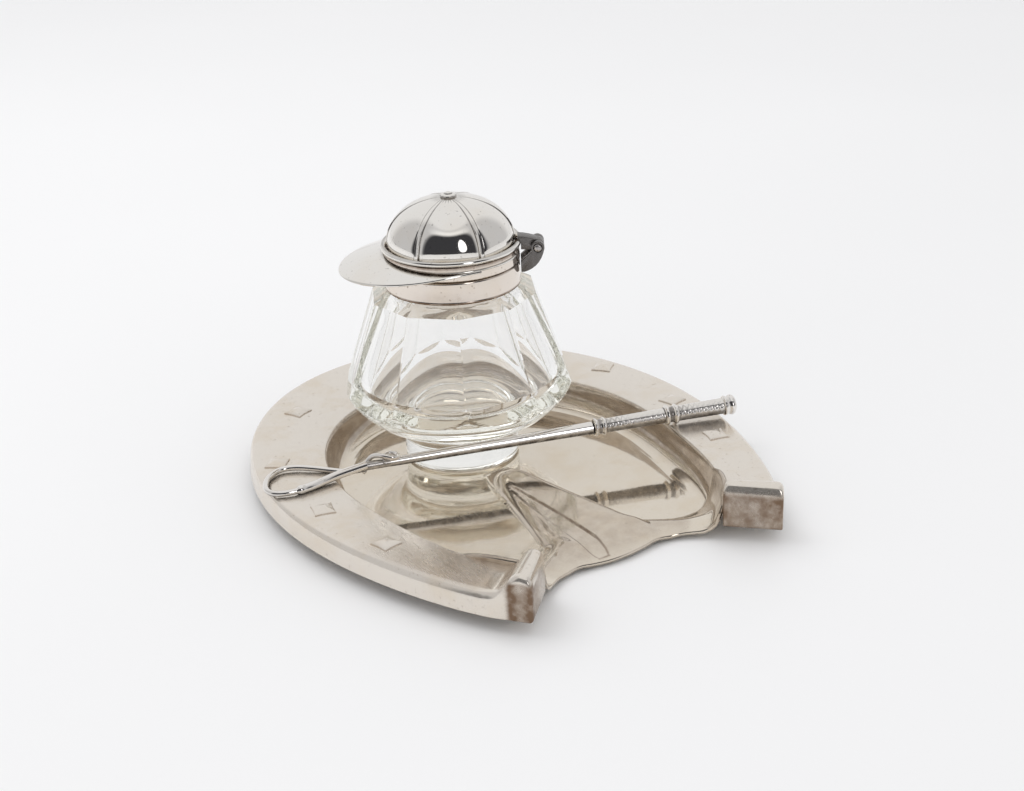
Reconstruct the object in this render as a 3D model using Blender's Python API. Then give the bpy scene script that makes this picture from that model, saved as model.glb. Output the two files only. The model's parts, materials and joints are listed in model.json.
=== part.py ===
"""Horseshoe inkstand: a silver tray in the shape of a shod hoof, a glass inkwell with a hinged
jockey-cap lid, and a riding crop laid across the shoe as a pen rest.

Frame: metres, +Z up, the toe of the shoe towards +Y, the open heels towards -Y, and the origin on
the table under the middle of the tray.
"""

import math

import bmesh
import bpy
from mathutils import Matrix, Vector

MM = 0.001

# ---- driving dimensions -------------------------------------------------------------------------
SHEET = 1.2 * MM  # thickness of the silver sheet
GAP = 0.3 * MM  # clearance where two pieces meet
SHOE_CENTRE = Vector((0, -23.9 * MM, 0))  # pole of the shoe's two outlines
WALL_BOTTOM = 4.4 * MM  # the shoe's wall hangs clear of the table
RIM_TOP = 11.4 * MM
HEEL_ANGLE_OUTER = math.radians(146.5)
HEEL_ANGLE_INNER = math.radians(149.5)
BRANCH_SPAN = 199 * MM  # length of one branch along its outer edge

FLOOR_TOP = SHEET
SOLE_INSET = SHEET + 0.5 * MM  # from the shoe's inner edge to the face of the dish's wall
FROG_APEX_Y = -3.5 * MM
FROG_HEIGHT = 3.8 * MM
BAR_HEIGHT = 2.6 * MM
SULCUS_X = -5.0 * MM  # the cleft was pressed to one side of the frog's middle
SULCUS_DEPTH = 1.0 * MM

BOTTLE_AXIS = Vector((0, 20.2 * MM, 0))
FACETS = 10
FACET_TURN = math.radians(-8.9)  # direction of one facet edge
RIDGE_Z = 28.9 * MM
FACET_TOP_Z = 57.4 * MM
FACET_APOTHEM = (34.9 * MM, 25.3 * MM)  # at the ridge and at the top of the facets
NECK_R = 19.1 * MM
NECK_TOP = 65.6 * MM
WELL_FLOOR = 22.6 * MM
MOUTH_R = 13.2 * MM

COLLAR_R = 21.3 * MM
COLLAR_Z = (60.1 * MM, 67.3 * MM)
LID_BAND_Z = (67.6 * MM, 72.3 * MM)
LID_R = 21.3 * MM
BEAD_R = 0.85 * MM
DOME_R = 20.0 * MM
DOME_BASE = 72.9 * MM
DOME_TOP = 88.4 * MM
DOME_POWER = 2.15
SEAM_RISE = 0.45 * MM
RIB_COUNT = 6
PEAK_ANGLE = math.radians(148)  # the peak points this way and the hinge the other way
PEAK_REACH = 13.6 * MM
PEAK_DROP = 0.32  # fall of the peak for each unit that it reaches out
PEAK_SHEET = 0.8 * MM
HINGE_ANGLE = PEAK_ANGLE - math.pi
HINGE_OFFSET = 27.0 * MM  # from the bottle's axis to the pin
HINGE_Z = 71.5 * MM
PIN_R = 1.2 * MM
KNUCKLE_R = 2.1 * MM
KNUCKLE_WIDTH = 4.4 * MM
LUG_WIDTH = 1.6 * MM

CROP_TIP = Vector((-72.4, 16.6, 12.5)) * MM  # outer end of the thong's loop
CROP_BUTT = Vector((73.9, -29.1, 15.1)) * MM
STUD_SIDE = 6.8 * MM
STUD_HEIGHT = 1.9 * MM
STUDS = ((39.7, 60.0), (62.2, 28.5), (64.6, -8.1), (59.4, -37.6))  # x, y in mm, on one branch


# ---- shared helpers -----------------------------------------------------------------------------
def clear_scene():
    for obj in list(bpy.data.objects):
        bpy.data.objects.remove(obj, do_unlink=True)


def material(name, colour, roughness, metallic=1.0, transmission=0.0):
    mat = bpy.data.materials.new(name)
    mat.use_nodes = True
    shader = mat.node_tree.nodes["Principled BSDF"]
    shader.inputs["Base Color"].default_value = (*colour, 1)
    shader.inputs["Roughness"].default_value = roughness
    shader.inputs["Metallic"].default_value = metallic
    shader.inputs["Transmission Weight"].default_value = transmission
    return mat


def new_object(name, bm, mat, parent=None, origin=None):
    """Makes an object of bm, whose points are in the part's frame, with its origin where asked."""
    if all(edge.is_manifold for edge in bm.edges):
        bmesh.ops.recalc_face_normals(bm, faces=bm.faces)
        if bm.calc_volume(signed=True) < 0:
            bmesh.ops.reverse_faces(bm, faces=bm.faces)
    at = Vector((0, 0, 0)) if origin is None else Vector(origin)
    bm.transform(Matrix.Translation(-at))
    mesh = bpy.data.meshes.new(name)
    bm.to_mesh(mesh)
    bm.free()
    mesh.shade_smooth()
    mesh.set_sharp_from_angle(angle=math.radians(35))
    mesh.materials.append(mat)
    obj = bpy.data.objects.new(name, mesh)
    bpy.context.scene.collection.objects.link(obj)
    obj.location = at if parent is None else at - parent.location
    obj.parent = parent
    return obj


def new_empty(name, at):
    empty = bpy.data.objects.new(name, None)
    empty.location = at
    bpy.context.scene.collection.objects.link(empty)
    return empty


def smooth(low, high, value):
    """A soft step from 0 at low to 1 at high."""
    t = min(1.0, max(0.0, (value - low) / (high - low)))
    return t * t * (3 - 2 * t)


def interpolate(pairs, value):
    """Reads a smooth curve through (x, y) pairs at value."""
    for (x0, y0), (x1, y1) in zip(pairs, pairs[1:]):
        if value <= x1:
            return y0 + (y1 - y0) * smooth(x0, x1, value)
    return pairs[-1][1]


def loft(rings, closed=False, caps=True):
    """A mesh through rings of equal length: closed joins the last ring to the first."""
    bm = bmesh.new()
    rows = [[bm.verts.new(point) for point in ring] for ring in rings]
    count = len(rows[0])
    pairs = list(zip(rows, rows[1:])) + ([(rows[-1], rows[0])] if closed else [])
    for a, b in pairs:
        for i in range(count):
            j = (i + 1) % count
            bm.faces.new((a[i], a[j], b[j], b[i]))
    if caps and not closed:
        bm.faces.new(rows[0])
        bm.faces.new(rows[-1])
    return bm


def circle(axis, radius, z, steps):
    """Points round a vertical axis at one height."""
    angles = (2 * math.pi * i / steps for i in range(steps))
    return [axis + Vector((radius * math.cos(a), radius * math.sin(a), z)) for a in angles]


def turned(profile, axis, steps=40):
    """A solid of revolution about a vertical axis from (radius, z) points; radius 0 makes a pole."""
    bm = bmesh.new()
    rows = []
    for radius, z in profile:
        if radius == 0:
            rows.append([bm.verts.new(axis + Vector((0, 0, z)))] * steps)
            continue
        rows.append([bm.verts.new(point) for point in circle(axis, radius, z, steps)])
    whole = profile[0][0] > 0
    pairs = list(zip(rows, rows[1:])) + ([(rows[-1], rows[0])] if whole else [])
    for a, b in pairs:
        for i in range(steps):
            j = (i + 1) % steps
            corners = list(dict.fromkeys((a[i], a[j], b[j], b[i])))
            if len(corners) > 2:
                bm.faces.new(corners)
    return bm


def tube(points, radii, sides=10):
    """A round bar with flat ends along points, whose radius changes from point to point."""
    rings = []
    up = Vector((0, 0, 1))
    for i, point in enumerate(points):
        ahead = points[min(i + 1, len(points) - 1)] - points[max(i - 1, 0)]
        side = ahead.cross(up).normalized()
        top = side.cross(ahead).normalized()
        angles = (2 * math.pi * k / sides for k in range(sides))
        rings.append([point + (side * math.cos(a) + top * math.sin(a)) * radii[i] for a in angles])
    return loft(rings)


# ---- the shoe -----------------------------------------------------------------------------------
def outer_radius(angle):
    return (84.2 + 13.2 * math.cos(angle) + 14.0 * math.cos(2 * angle) + 1.1 * math.cos(4 * angle)) * MM


def inner_radius(angle):
    return (62.85 + 7.2 * math.cos(angle) + 10.4 * math.cos(2 * angle)) * MM


def polar(radius, angle, z):
    """A point at a radius from the shoe's pole, with the angle measured from the toe."""
    return SHOE_CENTRE + Vector((radius * math.sin(angle), radius * math.cos(angle), z))


CALK_CREST = (  # distance from the heel's end face, top height, in mm
    (0, 16.0), (0.9, 17.5), (2.4, 18.3), (4.2, 18.4), (6.2, 17.2), (8.2, 14.6), (10.5, 12.4), (14, 11.4),
)


def branch_top(from_end):
    """Height of the shoe's top at a distance from the end of a branch: the turned-up calk, then the rim."""
    return interpolate(CALK_CREST, from_end / MM) * MM


def shoe_ring(along, side, hollow):
    """One section of the shoe: along runs from 0 at the toe to 1 at the heel's end."""
    inner = polar(inner_radius(along * HEEL_ANGLE_INNER), side * along * HEEL_ANGLE_INNER, 0)
    outer = polar(outer_radius(along * HEEL_ANGLE_OUTER), side * along * HEEL_ANGLE_OUTER, 0)
    across = (outer - inner).normalized()
    width = (outer - inner).length
    top = branch_top((1 - along) * BRANCH_SPAN)
    section = [
        (0, top - 0.7 * MM),
        (0.6 * MM, top),
        (width - 2.4 * MM, top),
        (width - 0.7 * MM, top - 0.6 * MM),
        (width, top - 2.0 * MM),
        (width + 0.9 * MM, WALL_BOTTOM + 0.6 * MM),
        (width + 0.5 * MM, WALL_BOTTOM),
    ]
    if hollow:
        ceiling = top - SHEET
        section += [(width - 0.4 * MM, WALL_BOTTOM), (width - SHEET, ceiling), (0, ceiling)]
    else:
        section += [(width * 0.66, WALL_BOTTOM), (width * 0.33, WALL_BOTTOM), (0, WALL_BOTTOM)]
    return [inner + across * offset + Vector((0, 0, z)) for offset, z in section]


def horseshoe_shoe(mat):
    """The shoe: a pressed rim and wall, open below, whose heels turn up into solid calks."""
    calk = [(1 - s * MM / BRANCH_SPAN, False) for s in (0, 0.9, 2.4, 4.2, 6.2, 8.2)]
    start = 1 - 8.6 * MM / BRANCH_SPAN
    fillet = [(start, True), (1 - 10.5 * MM / BRANCH_SPAN, True), (1 - 14 * MM / BRANCH_SPAN, True)]
    rim = [(i / 24, True) for i in range(22, 0, -1)]
    branch = calk + fillet + rim
    right = [shoe_ring(u, 1, hollow) for u, hollow in branch]
    left = [shoe_ring(u, -1, hollow) for u, hollow in reversed(branch)]
    new_object("horseshoe_shoe", loft(right + [shoe_ring(0, 1, True)] + left), mat)


def nail_head(name, x, y, mat):
    """A square pillow stud with hollowed sides, turned to follow the rim."""
    angle = math.atan2(x, y - SHOE_CENTRE.y)
    half = STUD_SIDE / 2
    bm = bmesh.new()
    levels = ((0.0, 1.0, 0.14), (0.25, 1.0, 0.14), (0.8, 0.52, 0.1), (1.0, 0.12, 0.0))
    rows = []
    for rise, scale, hollow in levels:
        ring = []
        for i in range(8):
            turn = math.pi * i / 4 + math.pi / 4 - angle
            reach = half * scale * (math.sqrt(2) if i % 2 == 0 else 1 - hollow)
            z = RIM_TOP + 0.15 * MM + STUD_HEIGHT * rise
            ring.append(bm.verts.new((x + reach * math.cos(turn), y + reach * math.sin(turn), z)))
        rows.append(ring)
    for a, b in zip(rows, rows[1:]):
        for i in range(8):
            bm.faces.new((a[i], a[(i + 1) % 8], b[(i + 1) % 8], b[i]))
    bm.faces.new(rows[0])
    bm.faces.new(rows[-1])
    new_object(name, bm, mat)


def nail_heads(mat):
    for number, (x, y) in enumerate(STUDS, start=1):
        nail_head(f"nail_head_right_{number}", x * MM, y * MM, mat)
        nail_head(f"nail_head_left_{number}", -x * MM, y * MM, mat)


# ---- the hoof's sole ----------------------------------------------------------------------------
HEEL_EDGE = ((0, -69.5), (8, -68.8), (15, -67.9), (21, -69.2), (27, -72.8), (34, -79.4))  # |x|, y in mm
BAR_CREASE = ((15, -52.0), (20, -54.5), (27, -59.5), (34, -59.5), (46, -55.0))
# Half widths below are (y, half width) in mm.
FROG_HALF_WIDTH = ((-60, 17.0), (-50, 15.5), (-36, 13.0), (-19, 8.6), (-8, 4.6), (-3.5, 2.6))
SULCUS_HALF_WIDTH = ((-68, 0.3), (-67, 1.8), (-64, 2.7), (-57, 2.9), (-33, 2.1), (-24, 1.1), (-15, 0.2))


def heel_edge_y(x):
    return interpolate(HEEL_EDGE, abs(x) / MM) * MM


def wall_height(inward):
    """Height of the dish's wall at a distance inwards from the sole's own edge."""
    profile = ((0, 11.0), (0.4, 9.6), (1.2, 5.6), (2.8, 2.9), (6.5, 1.2))
    return interpolate(profile, max(0.0, inward / MM)) * MM


def sole_height(point):
    """Height of the sole's upper face: dish wall, floor, frog with its central cleft, heel bars."""
    x, y = point.x, point.y
    offset = point - SHOE_CENTRE
    angle = math.atan2(offset.x, offset.y)
    base = wall_height(inner_radius(angle) - SOLE_INSET - math.hypot(offset.x, offset.y))
    half = interpolate(FROG_HALF_WIDTH, y / MM) * MM
    from_edge = smooth(0, 8 * MM, y - heel_edge_y(x))
    frog = FROG_HEIGHT * (1 - smooth(half - 4.5 * MM, half, abs(x)))
    frog *= smooth(FROG_APEX_Y + 3 * MM, FROG_APEX_Y - 6 * MM, y) if y > FROG_APEX_Y - 6 * MM else 1
    crease = interpolate(BAR_CREASE, abs(x) / MM) * MM
    bar = BAR_HEIGHT * smooth(0, 7 * MM, crease - y) if abs(x) > half - 3 * MM else 0
    rise = max(frog, bar) * (0.35 + 0.65 * from_edge)
    cleft = interpolate(SULCUS_HALF_WIDTH, y / MM) * MM
    groove = SULCUS_DEPTH * (1 - smooth(cleft * 0.5, cleft + 0.8 * MM, abs(x - SULCUS_X)))
    inside = smooth(-68 * MM, -64 * MM, y) * (1 - smooth(-16 * MM, -12 * MM, y))
    return max(base, FLOOR_TOP) + max(0, rise - groove * inside)


def sole_reach(angle):
    """How far the sole runs from the shoe's pole: to its inner edge, or to the open heel edge."""
    edge = inner_radius(angle) - SOLE_INSET
    low, high = 0.0, edge
    for _ in range(24):
        middle = (low + high) / 2
        point = polar(middle, angle, 0)
        inside = point.y > heel_edge_y(point.x)
        low, high = (middle, high) if inside else (low, middle)
    return low


def hoof_sole(mat):
    """The dish between the branches, pressed as the underside of a hoof, open at the heels."""
    corner = 147.0
    angles = [corner * i / 28 for i in range(-28, 29)]
    angles += [corner + (360 - 2 * corner) * i / 24 for i in range(1, 24)]
    fractions = (1, 0.992, 0.978, 0.95, 0.9, 0.84, 0.78, 0.72, 0.66, 0.6, 0.54, 0.48, 0.39, 0.3, 0.2, 0.1)
    bm = bmesh.new()
    rows = []
    for fraction in fractions:
        row = []
        for degrees in angles:
            angle = math.radians(degrees)
            point = polar(sole_reach(angle) * fraction, angle, 0)
            point.z = sole_height(point)
            row.append(bm.verts.new(point))
        rows.append(row)
    count = len(angles)
    for a, b in zip(rows, rows[1:]):
        for i in range(count):
            bm.faces.new((a[i], b[i], b[(i + 1) % count], a[(i + 1) % count]))
    middle = SHOE_CENTRE.copy()
    middle.z = sole_height(middle)
    pole = bm.verts.new(middle)
    for i in range(count):
        bm.faces.new((rows[-1][i], pole, rows[-1][(i + 1) % count]))
    sole = new_object("hoof_sole", bm, mat)
    sheet = sole.modifiers.new("sheet", "SOLIDIFY")
    sheet.thickness = SHEET
    sheet.offset = -1
    sheet.use_even_offset = False
    sheet.use_rim = True


# ---- the riding crop ----------------------------------------------------------------------------
def crop_point(t):
    return CROP_TIP.lerp(CROP_BUTT, t)


def crop_bar(name, stations, mat, sides=12):
    """A piece of the crop turned about its axis, from (place along the crop, radius in mm) pairs."""
    points = [crop_point(t) for t, _ in stations]
    new_object(name, tube(points, [radius * MM for _, radius in stations], sides), mat)


def smooth_route(points, steps=4):
    """Points along a smooth curve that passes through all of the given ones."""
    route = []
    for i in range(len(points) - 1):
        p0, p1 = points[max(i - 1, 0)], points[i]
        p2, p3 = points[i + 1], points[min(i + 2, len(points) - 1)]
        for step in range(steps):
            t = step / steps
            bend = p0 * 2 - p1 * 5 + p2 * 4 - p3
            twist = p1 * 3 - p0 - p2 * 3 + p3
            route.append((p1 * 2 + (p2 - p0) * t + bend * t**2 + twist * t**3) / 2)
    return route + [points[-1]]


THONG = (  # place along the crop, offset to its +Y side in mm
    (0.206, 0.9), (0.168, 2.6), (0.104, 5.6), (0.069, 7.4), (0.038, 7.1), (0.013, 3.2), (0.002, -2.1),
    (0.005, -6.3), (0.021, -8.6), (0.05, -9.0), (0.085, -7.6), (0.119, -5.2), (0.15, -3.7), (0.206, -2.1),
)


def crop_loop(mat):
    """The thong: a teardrop of cord that leaves the knot, lies on the rim and comes back doubled."""
    along = (CROP_BUTT - CROP_TIP).normalized()
    side = Vector((-along.y, along.x, 0)).normalized()
    route = smooth_route([crop_point(t) + side * offset * MM for t, offset in THONG])
    thicker = [smooth(0.72, 0.86, i / (len(route) - 1)) for i in range(len(route))]
    new_object("crop_thong_loop", tube(route, [(0.85 + 0.4 * s) * MM for s in thicker], 8), mat)


def riding_crop(mat, handle_mat):
    front = ((0.6865, 2.3), (0.69, 2.9), (0.7, 2.6), (0.71, 2.9), (0.7135, 2.3))
    rear = ((0.842, 2.6), (0.847, 3.2), (0.857, 2.75), (0.867, 3.25), (0.872, 2.6))
    butt = ((0.9735, 2.7), (0.979, 3.1), (0.991, 3.2), (0.998, 2.5), (1.001, 1.2))
    knot = ((0.2095, 1.5), (0.214, 2.3), (0.228, 2.5), (0.24, 2.1), (0.251, 2.4), (0.2565, 1.6))
    crop_bar("crop_shaft", ((0.2585, 1.45), (0.5, 1.75), (0.684, 2.0)), mat)
    crop_bar("crop_collar_front", front, mat, 16)
    crop_bar("crop_handle_front", ((0.716, 2.35), (0.8395, 2.45)), handle_mat, 14)
    crop_bar("crop_collar_rear", rear, mat, 16)
    crop_bar("crop_handle_rear", ((0.8745, 2.5), (0.971, 2.6)), handle_mat, 14)
    crop_bar("crop_butt_cap", butt, mat, 16)
    crop_bar("crop_knot", knot, mat)
    crop_loop(mat)


# ---- the inkwell --------------------------------------------------------------------------------
# Profiles below are (radius, height) in mm: the outside from the foot up to the ridge, and the well
# from the neck down to its floor, which leaves walls about 5 mm thick.
BODY_PROFILE = (
    (17.6, 1.5), (18.5, 2.2), (18.5, 6.5), (18.7, 10.8), (19.8, 13.2), (22.6, 15.1), (26.2, 16.2),
    (27.9, 17.1), (30.2, 18.5), (34.6, 22.8), (36.2, 25.4), (36.7, 27.4), (36.6, 28.3), (36.2, 29.4),
    (35.6, 30.6),
)
WELL_PROFILE = (
    (13.2, 60.2), (16.0, 58.2), (19.2, 55.8), (24.6, 42.0), (29.0, 31.0), (29.2, 28.4), (27.6, 25.6),
    (23.6, 23.6), (15.0, 22.8),
)


def body_radius(angle, z, round_radius):
    """Radius of the outside of the glass: the turned body, cut back to ten flat facets."""
    share = (z - RIDGE_Z) / (FACET_TOP_Z - RIDGE_Z)
    apothem = FACET_APOTHEM[0] + (FACET_APOTHEM[1] - FACET_APOTHEM[0]) * share
    step = 2 * math.pi / FACETS
    off_centre = (angle - FACET_TURN) % step - step / 2
    return min(round_radius, apothem / math.cos(off_centre))


def glass_ring(radius, z, faceted, steps):
    angles = (FACET_TURN + 2 * math.pi * i / steps for i in range(steps))
    ring = []
    for angle in angles:
        r = body_radius(angle, z, radius) if faceted else radius
        ring.append(BOTTLE_AXIS + Vector((r * math.cos(angle), r * math.sin(angle), z)))
    return ring


def glass_bottle(mat, parent):
    """The inkwell: a round foot, ten facets up to a sloping shoulder, and a well that widens below."""
    steps = FACETS * 4
    rings = [glass_ring(radius * MM, z * MM, z > 24, steps) for radius, z in BODY_PROFILE]
    rings += [glass_ring(1, z, True, steps) for z in (36.0 * MM, 44.0 * MM, FACET_TOP_Z)]
    rings.append(glass_ring(22.0 * MM, 59.2 * MM, False, steps))
    neck = ((NECK_R, 59.9 * MM), (NECK_R, NECK_TOP - 0.5 * MM), (NECK_R - 0.5 * MM, NECK_TOP))
    rings += [glass_ring(radius, z, False, steps) for radius, z in neck]
    mouth = ((MOUTH_R + 0.5 * MM, NECK_TOP), (MOUTH_R, NECK_TOP - 0.6 * MM))
    rings += [glass_ring(radius, z, False, steps) for radius, z in mouth]
    rings += [glass_ring(radius * MM, z * MM, False, steps) for radius, z in WELL_PROFILE]
    rings.append(glass_ring(5 * MM, WELL_FLOOR, False, steps))
    new_object("glass_bottle", loft(rings), mat, parent, BOTTLE_AXIS)


def neck_plaster(mat, parent):
    inner, outer = NECK_R + 0.15 * MM, COLLAR_R - 1.0 * MM - 0.15 * MM
    low, high = COLLAR_Z[0] + 0.5 * MM, NECK_TOP - 0.8 * MM
    profile = ((outer, high), (outer, low), (inner, low), (inner, high))
    new_object("neck_plaster", turned(profile, BOTTLE_AXIS), mat, parent, BOTTLE_AXIS)


def neck_collar(mat, parent):
    """The silver collar cemented to the neck, with an inturned top that the lid closes on."""
    low, high = COLLAR_Z
    r = COLLAR_R
    lip = MOUTH_R + 1.2 * MM
    profile = (
        (lip, high), (r - 0.9 * MM, high), (r - 0.1 * MM, high - 0.6 * MM),
        (r + 0.1 * MM, (low + high) / 2), (r, low + 0.4 * MM), (r - 0.3 * MM, low),
        (r - 1.0 * MM, low), (r - 1.0 * MM, high - 0.9 * MM), (lip, high - 0.9 * MM),
    )
    new_object("neck_collar", turned(profile, BOTTLE_AXIS), mat, parent, BOTTLE_AXIS)


# ---- the hinge ----------------------------------------------------------------------------------
def hinge_matrix():
    """Local frame on the pin's axis: x out from the bottle, y along the pin, z up."""
    turn = Matrix.Rotation(HINGE_ANGLE, 4, "Z")
    return Matrix.Translation(BOTTLE_AXIS) @ turn @ Matrix.Translation((HINGE_OFFSET, 0, HINGE_Z))


def plate_along_pin(outline, low, high, matrix):
    """A flat piece: an outline in the hinge's x-z plane, from low to high along the pin."""
    rings = [[matrix @ Vector((x * MM, y, z * MM)) for x, z in outline] for y in (low, high)]
    return loft(rings)


def rod_along_pin(radius, length, matrix):
    bm = bmesh.new()
    bmesh.ops.create_cone(bm, cap_ends=True, segments=16, radius1=radius, radius2=radius, depth=length)
    bm.transform(matrix @ Matrix.Rotation(math.pi / 2, 4, "X"))
    return bm


def pierced_knuckle(name, arm, low, high, matrix, mat, parent):
    """One leaf of the hinge: a plate with an arm and a knuckle, drilled for the pin."""
    bm = plate_along_pin(arm, low, high, matrix)
    leaf = new_object(name, bm, mat, parent, matrix.translation)
    drill = rod_along_pin(PIN_R + GAP, 20 * MM, matrix)
    cutter = new_object(name + "_drill", drill, mat, parent, matrix.translation)
    cutter.hide_render = True
    cutter.display_type = "WIRE"
    cut = leaf.modifiers.new("pin hole", "BOOLEAN")
    cut.operation = "DIFFERENCE"
    cut.object = cutter
    cut.solver = "EXACT"


def round_back(start, stop):
    """The knuckle's arc about the pin, in mm, between two angles in degrees."""
    radius_mm = KNUCKLE_R / MM
    return [
        (radius_mm * math.cos(math.radians(d)), radius_mm * math.sin(math.radians(d)))
        for d in range(start, stop + 1, 20)
    ]


def hinge(mat, pin_mat, bottle, lid):
    """Two lugs soldered to the collar, one leaf soldered to the lid between them, and their pin."""
    matrix = hinge_matrix()
    half = KNUCKLE_WIDTH / 2
    lug = [(-5.4, -4.3), (-5.4, -7.7), (-3.2, -7.3), (-0.8, -5.8), (1.0, -3.4)]
    lug += round_back(-20, 200)
    for name, low in (("collar_lug_near", -half - GAP - LUG_WIDTH), ("collar_lug_far", half + GAP)):
        pierced_knuckle(name, lug, low, low + LUG_WIDTH, matrix, mat, bottle)
    leaf = [(-6.2, 1.2), (-5.2, 1.0), (-5.2, -0.9)] + round_back(-140, 80) + [(-2.4, 2.7), (-6.2, 3.4)]
    pierced_knuckle("lid_hinge_leaf", leaf, -half, half, matrix, mat, lid)
    length = KNUCKLE_WIDTH + 2 * (GAP + LUG_WIDTH + 0.5 * MM)
    pin = rod_along_pin(PIN_R, length, matrix)
    new_object("hinge_pin", pin, pin_mat, bottle, matrix.translation)


# ---- the jockey-cap lid -------------------------------------------------------------------------
def lid_band(mat, lid, origin):
    low, high = LID_BAND_Z
    r = LID_R
    inner = r - 1.1 * MM
    profile = (
        (r - 0.3 * MM, high), (r, high - 0.5 * MM), (r + 0.1 * MM, (low + high) / 2),
        (r, low + 0.3 * MM), (r - 0.3 * MM, low), (inner, low), (inner, high),
    )
    new_object("lid_band", turned(profile, BOTTLE_AXIS), mat, lid, origin)


def lid_bead(mat, lid, origin):
    """The rolled bead between the band and the crown, parted where the hinge leaf passes."""
    centre = LID_BAND_Z[1] + GAP / 2 + BEAD_R
    parting = (KNUCKLE_WIDTH / 2 + 0.4 * MM) / LID_R
    turns = [math.pi * (k + 0.5) / 3 for k in range(6)]
    section = [Vector((LID_R + BEAD_R * math.cos(t), 0, centre + BEAD_R * math.sin(t))) for t in turns]
    steps = 40
    rings = []
    for i in range(steps + 1):
        angle = HINGE_ANGLE + parting + (2 * math.pi - 2 * parting) * i / steps
        turned_by = Matrix.Rotation(angle, 3, "Z")
        rings.append([BOTTLE_AXIS + turned_by @ point for point in section])
    new_object("lid_bead", loft(rings), mat, lid, origin)


def dome_radius(share):
    return DOME_R * (1 - share**DOME_POWER) ** (1 / DOME_POWER)


def dome_ring(share, seam, inset):
    """One level of the crown: share runs from 0 at its base to 1 at its top."""
    steps = RIB_COUNT * 8
    z = DOME_BASE + (DOME_TOP - DOME_BASE) * share - inset * share
    radius = max(dome_radius(share) - inset, 0.4 * MM * (1 + share))
    ring = []
    for i in range(steps):
        angle = PEAK_ANGLE + 2 * math.pi * i / steps
        r = radius + seam if i % 8 == 0 else radius
        ring.append(BOTTLE_AXIS + Vector((r * math.cos(angle), r * math.sin(angle), z)))
    return ring


def cap_crown(mat, lid, origin):
    """The crown of the cap: a thin dome in six panels, with a raised seam between each two."""
    shares = [math.sin(math.pi / 2 * i / 9) for i in range(9)]
    inside = [dome_ring(share, 0, SHEET) for share in reversed(shares)]
    outside = [dome_ring(share, SEAM_RISE * smooth(0, 0.06, share), 0) for share in shares]
    new_object("cap_crown", loft(inside + outside), mat, lid, origin)


def cap_peak(mat, lid, origin):
    """The peak: a thin crescent that slopes down from the band and wraps most of the way round."""
    steps = 32
    spread = math.radians(116)
    rings = []
    for i in range(steps + 1):
        turn = spread * (2 * i / steps - 1)
        share = (math.cos(turn) - math.cos(spread)) / (1 - math.cos(spread))
        reach = 0.4 * MM + PEAK_REACH * max(0.0, share) ** 1.8
        root, level = LID_R + 0.4 * MM, LID_BAND_Z[1] - (1.0 + 0.8 * (1 - share)) * MM
        tops = [(root + reach * s, level - PEAK_DROP * reach * s * (0.85 + 0.15 * s)) for s in (0, 0.5, 1)]
        unders = [(r, z - PEAK_SHEET) for r, z in reversed(tops)]
        turned_by = Matrix.Rotation(PEAK_ANGLE + turn, 3, "Z")
        rings.append([BOTTLE_AXIS + turned_by @ Vector((r, 0, z)) for r, z in tops + unders])
    new_object("cap_peak", loft(rings), mat, lid, origin)


def cap_button(mat, lid, origin):
    low = DOME_TOP + 0.1 * MM
    edge = low + 0.4 * MM
    profile = ((0, low + 1.2 * MM), (1.4 * MM, low + 1.0 * MM), (2.5 * MM, edge), (2.4 * MM, low), (0, low))
    new_object("cap_button", turned(profile, BOTTLE_AXIS, 24), mat, lid, origin)


def lid_liner(mat, lid, origin):
    """The seating ring inside the lid, which drops into the mouth of the collar."""
    outer, inner = MOUTH_R - 0.1 * MM, MOUTH_R - 1.3 * MM
    low, high = COLLAR_Z[1] - 2.0 * MM, LID_BAND_Z[1] - 0.6 * MM
    wide = LID_R - 1.4 * MM
    step = high - 1.0 * MM
    profile = (
        (wide, high), (wide, step), (outer, step), (outer - 0.5 * MM, low), (inner, low), (inner, high),
    )
    new_object("lid_liner", turned(profile, BOTTLE_AXIS), mat, lid, origin)


def jockey_cap(silver, bright, lid, origin):
    lid_band(silver, lid, origin)
    lid_bead(bright, lid, origin)
    cap_crown(bright, lid, origin)
    cap_peak(bright, lid, origin)
    cap_button(bright, lid, origin)
    lid_liner(silver, lid, origin)


# ---- the whole object ---------------------------------------------------------------------------
def main():
    clear_scene()
    shoe_silver = material("shoe_silver", (0.78, 0.75, 0.70), 0.24)
    dish_silver = material("dish_silver", (0.74, 0.69, 0.61), 0.14)
    bright_silver = material("bright_silver", (0.86, 0.85, 0.82), 0.12)
    collar_silver = material("collar_silver", (0.84, 0.79, 0.73), 0.18)
    grip_silver = material("grip_silver", (0.72, 0.68, 0.62), 0.35)
    dark_hinge = material("dark_hinge", (0.24, 0.23, 0.23), 0.38)
    pin_metal = material("pin_metal", (0.42, 0.41, 0.40), 0.35)
    plaster = material("plaster", (0.85, 0.83, 0.78), 0.85, metallic=0.0)
    glass = material("glass", (0.98, 0.99, 0.96), 0.02, metallic=0.0, transmission=1.0)

    horseshoe_shoe(shoe_silver)
    nail_heads(shoe_silver)
    hoof_sole(dish_silver)
    riding_crop(bright_silver, grip_silver)

    bottle = new_empty("inkwell_lift", BOTTLE_AXIS)
    glass_bottle(glass, bottle)
    neck_plaster(plaster, bottle)
    neck_collar(collar_silver, bottle)

    pin_axis = hinge_matrix().translation
    lid = new_empty("lid_turn", pin_axis)
    hinge(dark_hinge, pin_metal, bottle, lid)
    jockey_cap(collar_silver, bright_silver, lid, pin_axis)


main()
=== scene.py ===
"""Looks of the horseshoe inkstand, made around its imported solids: fine silver, glass and hinge
meshes, their materials, a pale floor, soft studio light and the camera.

Units are metres. Profiles, radii and heights of a piece are written in millimetres and scaled by MM.
"""

import json
import math

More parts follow.
